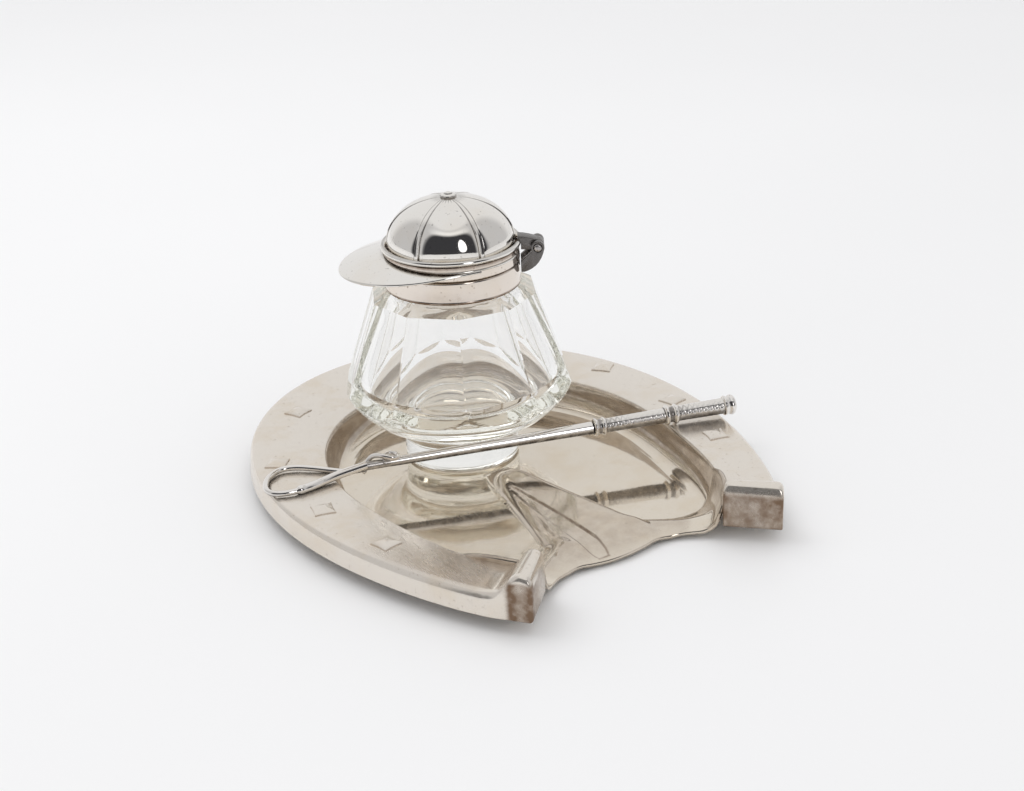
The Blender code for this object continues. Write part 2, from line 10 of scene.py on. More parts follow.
import bmesh
import bpy
import numpy as np
from mathutils import Matrix, Vector


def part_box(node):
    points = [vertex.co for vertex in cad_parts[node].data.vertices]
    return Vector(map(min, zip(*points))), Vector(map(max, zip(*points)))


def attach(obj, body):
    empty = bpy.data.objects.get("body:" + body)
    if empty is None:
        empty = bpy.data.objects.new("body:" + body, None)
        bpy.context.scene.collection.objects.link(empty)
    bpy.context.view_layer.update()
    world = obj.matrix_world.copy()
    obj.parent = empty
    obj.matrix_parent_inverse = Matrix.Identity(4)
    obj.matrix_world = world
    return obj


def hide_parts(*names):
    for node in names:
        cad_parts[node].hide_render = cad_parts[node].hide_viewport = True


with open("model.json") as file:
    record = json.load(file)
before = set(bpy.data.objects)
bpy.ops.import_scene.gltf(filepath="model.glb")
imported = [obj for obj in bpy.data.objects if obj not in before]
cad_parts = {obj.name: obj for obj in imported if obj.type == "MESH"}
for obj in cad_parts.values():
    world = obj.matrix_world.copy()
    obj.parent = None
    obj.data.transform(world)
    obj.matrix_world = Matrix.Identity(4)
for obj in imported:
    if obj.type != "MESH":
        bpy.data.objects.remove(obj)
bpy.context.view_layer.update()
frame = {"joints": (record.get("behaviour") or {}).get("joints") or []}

MM = 0.001


def middle(node):
    """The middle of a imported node's box."""
    low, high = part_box(node)
    return (low + high) / 2


# ---- places read from the frame ----
SHEET = 1.2 * MM
TOE_REACH = 113.4 * MM  # from the pole that the shoe's outlines turn about to the toe's edge
shoe_low, shoe_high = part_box("horseshoe_shoe")
WALL_BOTTOM = shoe_low.z
RIM_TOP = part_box("nail_head_left_1")[0].z - 0.15 * MM
SHOE_CENTRE = Vector((0, shoe_high.y - TOE_REACH, 0))

collar_low, collar_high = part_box("neck_collar")
BOTTLE_AXIS = Vector((middle("neck_collar").x, middle("neck_collar").y, 0))
COLLAR_R = 21.3 * MM
LID_R = 21.3 * MM
BAND_LOW, BAND_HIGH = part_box("lid_band")[0].z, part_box("lid_band")[1].z
DOME_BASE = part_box("cap_crown")[0].z
DOME_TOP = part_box("cap_crown")[1].z
BUTTON_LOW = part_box("cap_button")[0].z

hinge_joint = next(j for j in frame["joints"] if j["name"] == "lid_hinge")
PIN_CENTRE = Vector(hinge_joint["pos_m"])
HINGE_ANGLE = math.atan2(PIN_CENTRE.y - BOTTLE_AXIS.y, PIN_CENTRE.x - BOTTLE_AXIS.x)
PEAK_ANGLE = HINGE_ANGLE + math.pi

# The crop is straight, so two of its turned pieces give its whole line.
KNOT_PLACE, REAR_PLACE = 0.233, 0.857
CROP_STEP = (middle("crop_collar_rear") - middle("crop_knot")) / (REAR_PLACE - KNOT_PLACE)
CROP_TIP = middle("crop_knot") - CROP_STEP * KNOT_PLACE


# ---- shared helpers ----
def smooth(low, high, value):
    """A soft step from 0 at low to 1 at high."""
    t = np.clip((np.asarray(value, float) - low) / (high - low), 0, 1)
    return t * t * (3 - 2 * t)


def curve(pairs, value):
    """Reads a smooth curve through (x, y) pairs at value."""
    xs, ys = np.array(pairs, float).T
    slopes = np.gradient(ys, xs)
    value = np.clip(value, xs[0], xs[-1])
    i = np.clip(np.searchsorted(xs, value, side="right") - 1, 0, len(xs) - 2)
    gap = xs[i + 1] - xs[i]
    t = (value - xs[i]) / gap
    start = ys[i] * (1 + 2 * t) + slopes[i] * gap * t
    stop = ys[i + 1] * (3 - 2 * t) - slopes[i + 1] * gap * (1 - t)
    return start * (1 - t) ** 2 + stop * t**2


def rounded(corners, steps):
    """A closed outline through (x, z, reach) corners, each turned over that reach to both sides."""
    points = []
    for i, (x, z, reach) in enumerate(corners):
        here = np.array((x, z), float)
        before = np.array(corners[i - 1][:2], float) - here
        after = np.array(corners[(i + 1) % len(corners)][:2], float) - here
        a = here + before / np.linalg.norm(before) * reach
        b = here + after / np.linalg.norm(after) * reach
        for t in np.linspace(0, 1, steps + 1):
            points.append((1 - t) ** 2 * a + 2 * t * (1 - t) * here + t**2 * b)
    return np.array(points)


def quads_between(rows, count, loop=False):
    """The faces between rings of count points each; loop joins the last ring to the first."""
    i, k = np.meshgrid(np.arange(rows if loop else rows - 1), np.arange(count), indexing="ij")
    below, beside = (i + 1) % rows, (k + 1) % count
    quads = np.stack((i * count + k, i * count + beside, below * count + beside, below * count + k), -1)
    return quads.reshape(-1, 4).tolist()


def skin(name, rings, loop=False):
    """A closed mesh through rings of equal length: loop joins the last to the first, else both are filled."""
    rings = np.asarray(rings, float)
    rows, count = rings.shape[:2]
    faces = quads_between(rows, count, loop)
    if not loop:
        faces += [list(range(count)), list(range((rows - 1) * count, rows * count))]
    mesh = bpy.data.meshes.new(name)
    mesh.from_pydata(rings.reshape(-1, 3).tolist(), [], faces)
    return mesh


def radial_section(angle, radii, heights):
    """Points in the upright plane at an angle round the bottle, from radii and heights in mm."""
    x = BOTTLE_AXIS.x + radii * MM * math.cos(angle)
    y = BOTTLE_AXIS.y + radii * MM * math.sin(angle)
    return np.stack((x, y, heights * MM), -1)


def level_ring(angles, radii, z):
    """Points round the bottle's axis at one height, from radii and a height in mm."""
    x = BOTTLE_AXIS.x + radii * MM * np.cos(angles)
    y = BOTTLE_AXIS.y + radii * MM * np.sin(angles)
    return np.stack((x, y, np.full(len(angles), z * MM)), -1)


def turned(name, corners, steps):
    """A ring turned about the bottle's axis from a section of (radius, z, reach) corners in mm."""
    radii, heights = rounded(corners, steps).T
    angles = np.linspace(0, 2 * math.pi, 160, endpoint=False)
    return skin(name, [radial_section(a, radii, heights) for a in angles], loop=True)


def add_object(name, data):
    """Makes an object and puts it in the scene."""
    obj = bpy.data.objects.new(name, data)
    bpy.context.scene.collection.objects.link(obj)
    return obj


def piece(name, mesh, body, slot, nodes, sharp=35):
    """Makes a shown piece of a mesh: welded, facing out, shaded, in its slot's finish, on its body."""
    bm = bmesh.new()
    bm.from_mesh(mesh)
    bmesh.ops.remove_doubles(bm, verts=bm.verts, dist=1e-7)
    bmesh.ops.recalc_face_normals(bm, faces=bm.faces)
    if all(edge.is_manifold for edge in bm.edges) and bm.calc_volume(signed=True) < 0:
        bmesh.ops.reverse_faces(bm, faces=bm.faces)
    bm.to_mesh(mesh)
    bm.free()
    mesh.shade_smooth()
    mesh.set_sharp_from_angle(angle=math.radians(sharp))
    mesh.materials.append(FINISHES[slot])
    obj = add_object(name, mesh)
    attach(obj, body)
    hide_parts(*nodes)
    return obj


def points_of(obj):
    """An object's points in metres, one row each."""
    points = np.empty(len(obj.data.vertices) * 3)
    obj.data.vertices.foreach_get("co", points)
    return points.reshape(-1, 3)


def from_bottle_axis(points):
    """Distance of each point from the bottle's axis, in mm."""
    return np.hypot(points[:, 0] - BOTTLE_AXIS.x, points[:, 1] - BOTTLE_AXIS.y) / MM


def paint_grime_and_shade(mesh, amount):
    """Stores how dark each point is painted, from 0 to 1: tarnish, and on some pieces painted shade and
    painted reflection.
    """
    layer = mesh.attributes.new("grime_and_shade", "FLOAT", "POINT")
    layer.data.foreach_set("value", np.clip(amount, 0, 1).astype(np.float32))


# ---- materials ----
class Nodes:
    """Short calls to build the nodes of the world or a material."""

    def __init__(self, owner):
        owner.use_nodes = True
        self.tree = owner.node_tree

    def add(self, kind, inputs=(), **settings):
        node = self.tree.nodes.new(kind)
        for key, value in settings.items():
            setattr(node, key, value)
        for key, value in dict(inputs).items():
            self.join(value, node.inputs[key])
        return node

    def join(self, value, socket):
        if isinstance(value, bpy.types.NodeSocket):
            self.tree.links.new(value, socket)
        else:
            socket.default_value = value

    def band(self, value, low, high, to_low=0.0, to_high=1.0):
        inputs = {"Value": value, "From Min": low, "From Max": high, "To Min": to_low, "To Max": to_high}
        return self.add("ShaderNodeMapRange", inputs, interpolation_type="SMOOTHSTEP").outputs["Result"]

    def math(self, operation, a, b=0.0):
        node = self.add("ShaderNodeMath", operation=operation)
        self.join(a, node.inputs[0])
        self.join(b, node.inputs[1])
        return node.outputs[0]

    def mix(self, share, a, b):
        node = self.add("ShaderNodeMix", data_type="RGBA")
        self.join(share, node.inputs["Factor"])
        self.join(a, node.inputs["A"])
        self.join(b, node.inputs["B"])
        return node.outputs["Result"]


class Finish(Nodes):
    """Short calls to build one material's nodes."""

    def __init__(self, name):
        self.mat = bpy.data.materials.new(name)
        super().__init__(self.mat)
        self.shader = self.tree.nodes["Principled BSDF"]
        self.place = self.add("ShaderNodeTexCoord").outputs["Object"]

    def set(self, **values):
        for key, value in values.items():
            self.join(value, self.shader.inputs[key.replace("_", " ")])

    def noise(self, scale, detail=4.0, roughness=0.55, stretch=None):
        place = self.place
        if stretch is not None:
            place = self.add("ShaderNodeMapping", {"Vector": place, "Scale": stretch}).outputs[0]
        inputs = {"Vector": place, "Scale": scale, "Detail": detail, "Roughness": roughness}
        return self.add("ShaderNodeTexNoise", inputs).outputs["Fac"]

    def bump(self, height, strength, distance, normal=None):
        inputs = {"Height": height, "Strength": strength, "Distance": distance}
        if normal is not None:
            inputs["Normal"] = normal
        return self.add("ShaderNodeBump", inputs).outputs["Normal"]


def silver(name, colour, tarnish, roughness, cloud=0.35, specks=0.25, crevice=0.6, wobble=0.05, metal=1.0):
    """Old silver: a polished face, warm clouds of tarnish, brown specks, and dark oxide wherever a crevice
    holds it, with the dark layer on top: tarnish, and on some pieces painted shade and painted reflection.
    Fine rubbing marks and a slightly uneven surface. Below 1, metal leaves part of the face matt, under
    the film that handling gives it."""
    n = Finish(name)
    # The dark layer: tarnish, and on some pieces painted shade and painted reflection.
    grime_and_shade = n.add("ShaderNodeAttribute", attribute_name="grime_and_shade").outputs["Fac"]
    clouds = n.band(n.noise(70, 5, 0.6), 0.42, 0.72, 0, cloud)
    spots = n.band(n.noise(900, 2, 0.5), 0.66, 0.74, 0, specks)
    streaks = n.noise(260, 4, 0.6)
    held = n.add("ShaderNodeAmbientOcclusion", {"Distance": 1.6 * MM}, samples=8, only_local=True)
    corner = n.band(held.outputs["AO"], 0.86, 0.35, 0, crevice)
    broken = n.band(streaks, 0.25, 0.7, 0.65, 1.2)
    dark = n.math("MULTIPLY", n.math("MAXIMUM", grime_and_shade, corner), broken)
    warmer = [c * t for c, t in zip(colour, (0.93, 0.87, 0.78))]
    worn = n.mix(clouds, (*colour, 1), (*warmer, 1))
    spotted = n.mix(n.math("MINIMUM", spots, 0.8), worn, (*tarnish, 1))
    face = n.mix(n.math("MINIMUM", dark, 1.0), spotted, (*tarnish, 1))
    rubbed = n.noise(1500, 3, 0.6, stretch=(1.0, 0.12, 1.0))
    polish = n.band(rubbed, 0.3, 0.75, roughness * 0.75, roughness * 1.35)
    rough = n.math("ADD", polish, n.math("MULTIPLY", dark, 0.16))
    uneven = n.bump(n.noise(55, 2, 0.4), wobble, 1.0 * MM)
    scratched = n.bump(rubbed, 0.06, 0.02 * MM, uneven)
    n.set(Base_Color=face, Metallic=metal, Roughness=rough, Normal=scratched)
    return n.mat


def make_materials():
    """Every slot's material."""
    brown = (0.20, 0.13, 0.085)
    dark = (0.10, 0.085, 0.075)
    black = (0.05, 0.055, 0.055)
    return {
        "shoe_silver": silver(
            "shoe_silver", (0.775, 0.72, 0.65), brown, 0.20, cloud=0.6, specks=0.35, wobble=0.16, metal=0.8
        ),
        "dish_silver": silver(
            "dish_silver", (0.755, 0.685, 0.585), brown, 0.06, cloud=0.5, specks=0.2, wobble=0.10, metal=0.88
        ),
        "crop_silver": silver(
            "crop_silver", (0.83, 0.80, 0.765), dark, 0.13, cloud=0.2, specks=0.3, crevice=0.9
        ),
        "crop_grip_silver": silver(
            "grip_silver", (0.80, 0.77, 0.73), dark, 0.20, cloud=0.2, specks=0.3, crevice=1.0
        ),
        "collar_silver": silver("collar_silver", (0.80, 0.73, 0.66), brown, 0.12, cloud=0.45, specks=0.7),
        "cap_silver": silver(
            "cap_silver", (0.85, 0.825, 0.785), dark, 0.06, cloud=0.3, specks=0.35, wobble=0.03
        ),
        # Painted shade: the hinge's silver is given a near-black colour, standing in for the dark gaps round
        # its lugs.
        "hinge_silver": silver("hinge_silver", (0.17, 0.16, 0.155), black, 0.3, cloud=0.6, specks=0.5),
        "pin_metal": silver("pin_metal", (0.48, 0.46, 0.45), (0.08, 0.07, 0.07), 0.28, cloud=0.4, specks=0.5),
        "plaster": plaster(),
        "clear_glass": clear_glass(),
    }


def plaster():
    """The grainy cement between neck and collar, stained in places."""
    n = Finish("neck_cement")
    grain = n.noise(1400, 5, 0.7)
    stain = n.band(n.noise(160, 4, 0.6), 0.4, 0.7, 0, 1)
    n.set(Base_Color=n.mix(stain, (0.83, 0.80, 0.74, 1), (0.66, 0.58, 0.47, 1)), Roughness=0.85)
    n.set(Normal=n.bump(grain, 0.5, 0.08 * MM))
    return n.mat


def clear_glass():
    """Old cut glass: clear, faintly straw-coloured through its thick parts, with small marks of wear."""
    n = Finish("cut_glass")
    ripple = n.bump(n.noise(38, 2, 0.4), 0.05, 1.2 * MM)
    wear = n.band(n.noise(1300, 3, 0.6), 0.62, 0.8, 0.0, 0.05)
    n.set(Base_Color=(1, 1, 1, 1), Metallic=0.0, Roughness=wear, Normal=ripple)
    n.set(IOR=1.51, Transmission_Weight=1.0)
    depth = n.add("ShaderNodeVolumeAbsorption", {"Color": (0.955, 0.955, 0.80, 1), "Density": 4.5})
    n.join(depth.outputs[0], n.tree.nodes["Material Output"].inputs["Volume"])
    return n.mat


# ---- the shoe ----
HEEL_ANGLE_OUTER = math.radians(146.5)
HEEL_ANGLE_INNER = math.radians(149.5)
BRANCH_SPAN = 199.0  # mm along the outer edge of one branch
CALK_SOLID = 8.4  # mm of each branch's end that is solid below
END_ROUND = 1.0  # mm, the round on the edges of each end face
INNER_LIP = -0.55  # mm that the rim stands past its inner edge, over the sole
CALK_CREST = (  # mm from the end of a branch, height of its top
    (0, 16.2), (0.9, 17.6), (2.4, 18.35), (4.2, 18.4), (6.2, 17.2), (8.2, 14.6), (10.5, 12.4), (14, 11.5),
    (18, 11.4),
)


def outer_radius(angle):
    """The shoe's outer edge: its distance from the pole at an angle from the toe."""
    return (84.2 + 13.2 * np.cos(angle) + 14.0 * np.cos(2 * angle) + 1.1 * np.cos(4 * angle)) * MM


def inner_radius(angle):
    """The shoe's inner edge, in the same way."""
    return (62.85 + 7.2 * np.cos(angle) + 10.4 * np.cos(2 * angle)) * MM


def polar(radius, angle):
    """A point at a radius from the shoe's pole, with angle measured from the toe."""
    return SHOE_CENTRE + Vector((radius * math.sin(angle), radius * math.cos(angle), 0))


def shoe_section(width, top, hollow):
    """The shoe's section in mm: offsets from its inner edge, and heights."""
    bottom, ceiling = WALL_BOTTOM / MM, top - SHEET / MM
    raised = min(1.0, max(0.0, (top - RIM_TOP / MM) / 5))
    upright = 0.5 * raised
    upper = [(INNER_LIP, top, 0.75 + 1.9 * raised), (width + 0.1 + upright, top, 2.5)]
    upper.append((width + 0.95 - upright, bottom, 0.5))
    if hollow:
        lower = [(width - 0.35, bottom, 0.3), (width - 1.3, ceiling, 0.9), (INNER_LIP, ceiling, 0.25)]
    else:
        lower = [(width * 0.66, bottom, 0.3), (width * 0.33, bottom, 0.3), (INNER_LIP, bottom, 0.5)]
    return rounded(upper + lower, 7)


def shoe_ring(from_end, side):
    """The section at a distance in mm from the end of a branch."""
    along = 1 - from_end / BRANCH_SPAN
    inner = polar(inner_radius(along * HEEL_ANGLE_INNER), side * along * HEEL_ANGLE_INNER)
    outer = polar(outer_radius(along * HEEL_ANGLE_OUTER), side * along * HEEL_ANGLE_OUTER)
    across = (outer - inner).normalized()
    width = (outer - inner).length / MM
    top = RIM_TOP / MM + float(curve(CALK_CREST, from_end)) - CALK_CREST[-1][1]
    section = shoe_section(width, top, from_end > CALK_SOLID)
    if from_end < END_ROUND:
        taken = END_ROUND - math.sqrt(END_ROUND**2 - (END_ROUND - from_end) ** 2)
        centre = np.array((width / 2, (top + WALL_BOTTOM / MM) / 2))
        half = np.array((width / 2, (top - WALL_BOTTOM / MM) / 2))
        section = centre + (section - centre) * (1 - taken / half)
    return [inner + across * x * MM + Vector((0, 0, z * MM)) for x, z in section]


def from_end_face(points):
    """Distance in mm from the flat end of the nearer branch."""
    inner = polar(inner_radius(HEEL_ANGLE_INNER), HEEL_ANGLE_INNER) / MM
    outer = polar(outer_radius(HEEL_ANGLE_OUTER), HEEL_ANGLE_OUTER) / MM
    across = (outer - inner).normalized()
    return (points[:, 1] - inner.y) * across.x - (np.abs(points[:, 0]) - inner.x) * across.y


def make_shoe():
    """Both branches in one mesh, with the sections closer together towards the calks."""
    crest_end = CALK_CREST[-1][0]
    places = [0, 0.06, 0.15, 0.3, 0.5, 0.75, 1.0, *np.arange(1.3, CALK_SOLID, 0.35), CALK_SOLID]
    places += [CALK_SOLID + 0.05, *np.arange(CALK_SOLID + 0.4, crest_end, 0.4)]
    places += [*np.linspace(crest_end, BRANCH_SPAN, 90)]
    right = [shoe_ring(s, 1) for s in places]
    left = [shoe_ring(s, -1) for s in reversed(places[:-1])]
    mesh = skin("shoe", right + left)
    paint_shoe(piece("shoe_finish", mesh, "tray", "shoe_silver", ["horseshoe_shoe"], 40))


def paint_shoe(obj):
    """Darker paint under each calk's crest, on the end faces, down the left calk's side and towards the
    bottom of the right branch; tarnish on the left branch's top.
    """
    points = points_of(obj) / MM
    x, y, height = points.T
    rim = RIM_TOP / MM
    near_crest = smooth(15.6, 14.0, height) * smooth(11.9, 12.8, height)
    wall = smooth(rim - 0.8, WALL_BOTTOM / MM, height)
    from_end = from_end_face(points)
    end_face = smooth(1.3, 0.3, from_end) * smooth(17.2, 14.5, height)
    from_pole = y - SHOE_CENTRE.y / MM
    outer = outer_radius(np.abs(np.arctan2(x, from_pole))) / MM
    outer_side = smooth(2.2, 0.9, outer - np.hypot(x, from_pole))
    calk_side = outer_side * smooth(8.2, 6.0, from_end) * smooth(16.8, 15.2, height) * smooth(2, 4, height)
    stained = smooth(12, 20, from_end) * smooth(62, 40, from_end) * smooth(rim - 0.6, rim, height)
    right = 0.2 * near_crest + 0.06 * wall**3 + 0.72 * end_face
    left = 0.2 * near_crest + 0.1 * end_face + calk_side + 0.22 * stained
    paint_grime_and_shade(obj.data, np.where(x < 0, left, right))


# ---- the nail heads ----
STUD_HALF = 3.25 * MM
STUD_RISE = 1.4 * MM
STUD_FOOT = 0.3 * MM  # the upright edge below the bevel
STUD_PINCH = 0.08  # how far the middle of each side is drawn in


def stud_mesh(name, centre, angle):
    """A square pillow with hollow sides and a dished bevel, turned to follow the rim."""
    side = np.linspace(-1, 1, 13)[:-1]
    square = [(1, s) for s in side] + [(-s, 1) for s in side]
    square += [(-u, -v) for u, v in square]
    turn = Matrix.Rotation(-angle, 3, "Z")
    foot = RIM_TOP + STUD_FOOT
    bevel = STUD_RISE - STUD_FOOT
    levels = [(1.0, RIM_TOP - 0.1 * MM), (1.0, foot)]
    levels += [(1 - s, foot + bevel * (1 - (1 - s) ** 1.6)) for s in np.linspace(0.04, 0.97, 14)]
    rings = []
    for scale, z in levels:
        ring = []
        for u, v in square:
            pinch = STUD_PINCH * (0.3 + 0.7 * scale)
            x = u * (1 - pinch * (1 - v * v))
            y = v * (1 - pinch * (1 - u * u))
            at = turn @ Vector((x * scale * STUD_HALF, y * scale * STUD_HALF, 0))
            ring.append((centre.x + at.x, centre.y + at.y, z))
        rings.append(ring)
    return skin(name, rings)


def make_studs():
    """Four nail heads on each branch, dull round the foot."""
    for side in ("left", "right"):
        for number in (1, 2, 3, 4):
            node = f"nail_head_{side}_{number}"
            centre = middle(node)
            angle = math.atan2(centre.x, centre.y - SHOE_CENTRE.y)
            mesh = stud_mesh(node, centre, angle)
            obj = piece(node + "_finish", mesh, "tray", "shoe_silver", [node], 30)
            height = (points_of(obj)[:, 2] - RIM_TOP) / MM
            paint_grime_and_shade(obj.data, 0.4 * smooth(0.5, 0.05, height))


# ---- the hoof's sole ----
SOLE_INSET = 0.6 * MM
# Profiles in mm: (distance in from the wall, height), then (distance from the middle line, place along
# it) for the open heel edge and the bars' crease, then (place along it, half width) for frog and cleft.
WALL_PROFILE = ((0, 10.9), (0.5, 9.4), (1.3, 6.4), (2.6, 3.7), (4.6, 1.9), (7.5, 1.2), (12, 1.2))
HEEL_EDGE = (
    (-4, -69.6), (4, -69.4), (9, -68.6), (15, -67.9), (21, -69.3), (27, -72.9), (34, -78.6), (50, -84),
)
BAR_CREASE = ((12, -50.5), (16, -52.5), (21, -56.0), (27, -59.5), (34, -60.0), (46, -54.0))
FROG_HALF_WIDTH = (
    (-90, 23), (-60, 17.0), (-48, 14.8), (-36, 12.2), (-19, 8.8), (-8, 6.6), (-3.5, 5.4), (30, 4),
)
SULCUS_X = -5.0
SULCUS_HALF_WIDTH = (
    (-68, 0.6), (-67.2, 1.6), (-65.6, 2.3), (-62, 2.8), (-56, 2.95), (-47, 2.7), (-33, 2.0), (-14, 0.2),
)
SULCUS_ENDS = (-67.6, -14.0)
FROG_APEX_Y = -3.5
FROG_HEIGHT = 3.8
BAR_HEIGHT = 2.7
SULCUS_DEPTH = 0.5


def heel_edge_y(x):
    """Where the open heel edge lies at x, in mm."""
    return curve(HEEL_EDGE, np.abs(x))


def from_wall(x, y):
    """How far in from the sole's wall a point lies, in mm."""
    from_pole = y - SHOE_CENTRE.y / MM
    edge = inner_radius(np.arctan2(x, from_pole)) / MM - SOLE_INSET / MM
    return edge - np.hypot(x, from_pole)


def sulcus_share(x, y):
    """1 inside the frog's central cleft, 0 outside it, with a narrow wall between."""
    half = curve(SULCUS_HALF_WIDTH, y)
    inside = smooth(0.28, -0.28, np.abs(x - SULCUS_X) - half)
    heel, apex = SULCUS_ENDS
    return inside * smooth(heel - 0.5, heel + 1.0, y) * smooth(apex + 1, apex - 7, y)


def sole_height(x, y):
    """Height in mm of the sole's face over (x, y) in mm: wall, floor, frog with its cleft, heel bars."""
    base = curve(WALL_PROFILE, np.maximum(from_wall(x, y), 0))
    half = curve(FROG_HALF_WIDTH, y)
    across = np.clip((half - np.abs(x)) / 5.2, 0, 1)
    nose = np.clip((FROG_APEX_Y + 3.5 - y) / 10.0, 0, 1)
    frog = FROG_HEIGHT * (np.sin(math.pi / 2 * across) * np.sin(math.pi / 2 * nose)) ** 0.8
    behind = np.clip((curve(BAR_CREASE, np.abs(x)) - y) / 8.5, 0, 1)
    bar = BAR_HEIGHT * np.sin(math.pi / 2 * behind) * smooth(7, 13, np.abs(x))
    rise = (frog**2 + bar**2) ** 0.5
    at_edge = 0.26 + 0.34 * smooth(14, 28, np.abs(x))
    shallow = at_edge + (1 - at_edge) * smooth(-1, 11, y - heel_edge_y(x))
    hollow = 0.55 * np.exp(-(((x - SULCUS_X) / 5.5) ** 2)) * smooth(-8, -30, y)
    groove = SULCUS_DEPTH * sulcus_share(x, y) * (0.85 + 0.15 * smooth(-10, -40, y))
    floor = np.maximum(base, SHEET / MM)
    raised = floor + np.maximum(rise * shallow - hollow * shallow, 0)
    return raised - groove * shallow * np.minimum(1, rise / 2.0)


def sole_outline(angles):
    """How far the sole runs from the shoe's pole: to its wall, or to the open heel edge."""
    reach = inner_radius(angles) / MM - SOLE_INSET / MM
    low, high = np.zeros_like(reach), reach.copy()
    for _ in range(26):
        half = (low + high) / 2
        x, y = half * np.sin(angles), half * np.cos(angles) + SHOE_CENTRE.y / MM
        inside = y > heel_edge_y(x)
        low, high = np.where(inside, half, low), np.where(inside, high, half)
    return low


def make_sole():
    """The dish: rings drawn in from its outline to the pole, then given the thickness of the sheet."""
    front = np.linspace(-115, 115, 170, endpoint=False)
    heel = np.linspace(115, 245, 330, endpoint=False)
    angles = np.radians(np.concatenate((front, heel)))
    reach = sole_outline(angles)
    near_wall = np.linspace(0, 0.14, 30, endpoint=False)
    shares = 1 - np.concatenate((near_wall, np.linspace(0.14, 0.985, 86)))
    radius = shares[:, None] * reach[None, :]
    x, y = radius * np.sin(angles), radius * np.cos(angles) + SHOE_CENTRE.y / MM
    z = sole_height(x, y)
    rings = np.stack((x, y, z), -1) * MM
    rows, count = rings.shape[:2]
    pole = rows * count
    last = pole - count
    faces = quads_between(rows, count)
    faces += [(last + j, last + (j + 1) % count, pole) for j in range(count)]
    centre_height = float(sole_height(np.array(0.0), np.array(SHOE_CENTRE.y / MM)))
    points = rings.reshape(-1, 3).tolist() + [(0, SHOE_CENTRE.y, centre_height * MM)]
    mesh = bpy.data.meshes.new("sole")
    mesh.from_pydata(points, [], faces)
    mesh.shade_smooth()
    obj = piece("sole_finish", mesh, "tray", "dish_silver", ["hoof_sole"], 50)
    if obj.data.polygons[0].normal.z < 0 or sum(p.normal.z for p in obj.data.polygons) < 0:
        obj.data.flip_normals()
    paint_sole(obj)
    sheet = obj.modifiers.new("sheet", "SOLIDIFY")
    sheet.thickness = 0.98 * SHEET
    sheet.offset = -1
    sheet.use_even_offset = False


def paint_sole(obj):
    """Tarnish that polishing has left: along the wall, over the frog, and in the cleft's outline; and a
    painted reflection on the left of the sole's rear half.
    """
    x, y, z = (points_of(obj) / MM).T
    inward = from_wall(x, y)
    wall = smooth(5.5, 0.8, inward) * 0.5
    from_cleft = np.abs(x - SULCUS_X)
    half = curve(SULCUS_HALF_WIDTH, y)
    heel, apex = SULCUS_ENDS
    inside = smooth(heel - 0.8, heel + 0.4, y) * smooth(apex + 1, apex - 5, y)
    outline = np.exp(-(((from_cleft - half) / 0.26) ** 2)) * inside
    heel_end = np.exp(-(((y - heel) / 0.4) ** 2)) * smooth(2.3, 1.7, from_cleft)
    # Painted reflection: a darker patch on the left of the sole's rear half.
    left = smooth(2, -16, x) * smooth(-70, -52, y) * smooth(-6, -30, y)
    frog = smooth(1.4, 3.6, z) * smooth(9, 12, inward)
    paint_grime_and_shade(obj.data, wall + 0.6 * np.maximum(outline, heel_end) + 0.1 * left + 0.26 * frog)


# ---- the riding crop ----
# Stations of each turned piece: (place along the crop, radius in mm).
SHAFT = ((0.257, 1.42), (0.30, 1.5), (0.5, 1.75), (0.66, 1.98), (0.684, 2.05))
COLLAR_FRONT = (
    (0.6865, 2.05), (0.689, 2.75), (0.6925, 2.9), (0.696, 2.45), (0.700, 2.3), (0.704, 2.45), (0.7075, 2.9),
    (0.711, 2.75), (0.7145, 2.2),
)
HANDLE_FRONT = ((0.7145, 2.3), (0.78, 2.42), (0.8405, 2.48))
COLLAR_REAR = (
    (0.841, 2.4), (0.8445, 3.1), (0.849, 3.25), (0.853, 2.6), (0.857, 2.5), (0.861, 2.6), (0.865, 3.25),
    (0.869, 3.1), (0.8728, 2.5),
)
HANDLE_REAR = ((0.873, 2.5), (0.92, 2.6), (0.972, 2.64))
BUTT_CAP = (
    (0.972, 2.5), (0.9735, 3.0), (0.977, 3.2), (0.9805, 3.0), (0.983, 2.85), (0.987, 3.2), (0.992, 3.25),
    (0.9965, 2.85), (0.9995, 1.9), (1.0008, 0.6),
)
GRIP_RINGS, GRIP_SIDES = 180, 64
GRIP_CUT = 0.13  # mm
THONG = (  # place along the crop, offsets in mm to its +Y side and up: one strand passes under the other
    (0.206, -0.4, -0.7), (0.168, 0.2, -0.9), (0.135, 2.6, -0.6), (0.104, 4.9, -0.2), (0.069, 7.2, 0),
    (0.038, 7.1, 0), (0.013, 3.2, 0), (0.002, -2.1, 0), (0.005, -6.3, 0), (0.021, -8.6, 0), (0.05, -9.0, 0),
    (0.085, -7.6, 0), (0.119, -5.2, 0.1), (0.15, -3.4, 0.4), (0.206, -0.9, 0.7),
)
KNOT_ENDS = (0.2065, 0.2585)
KNOT_WINDING = (  # mm along the crop, to its side and up: up from below, over it, and back in an open curl
    (-1.2, 1.4, -1.0), (-0.6, 0.2, -2.0), (0.2, -1.7, -1.3), (1.2, -2.4, 0.4), (2.6, -1.9, 1.9),
    (4.2, -0.4, 2.7), (5.9, 1.2, 2.9), (7.8, 2.2, 2.6), (9.4, 1.9, 2.3), (10.2, 0.6, 2.2), (9.6, -0.9, 2.2),
    (8.2, -1.5, 2.3), (6.9, -1.0, 2.1), (6.0, 0.3, 1.6), (5.6, 1.5, 0.6),
)


def crop_point(t):
    """The point on the crop's axis at a place from 0, its thong's end, to 1, its butt."""
    return CROP_TIP + CROP_STEP * t


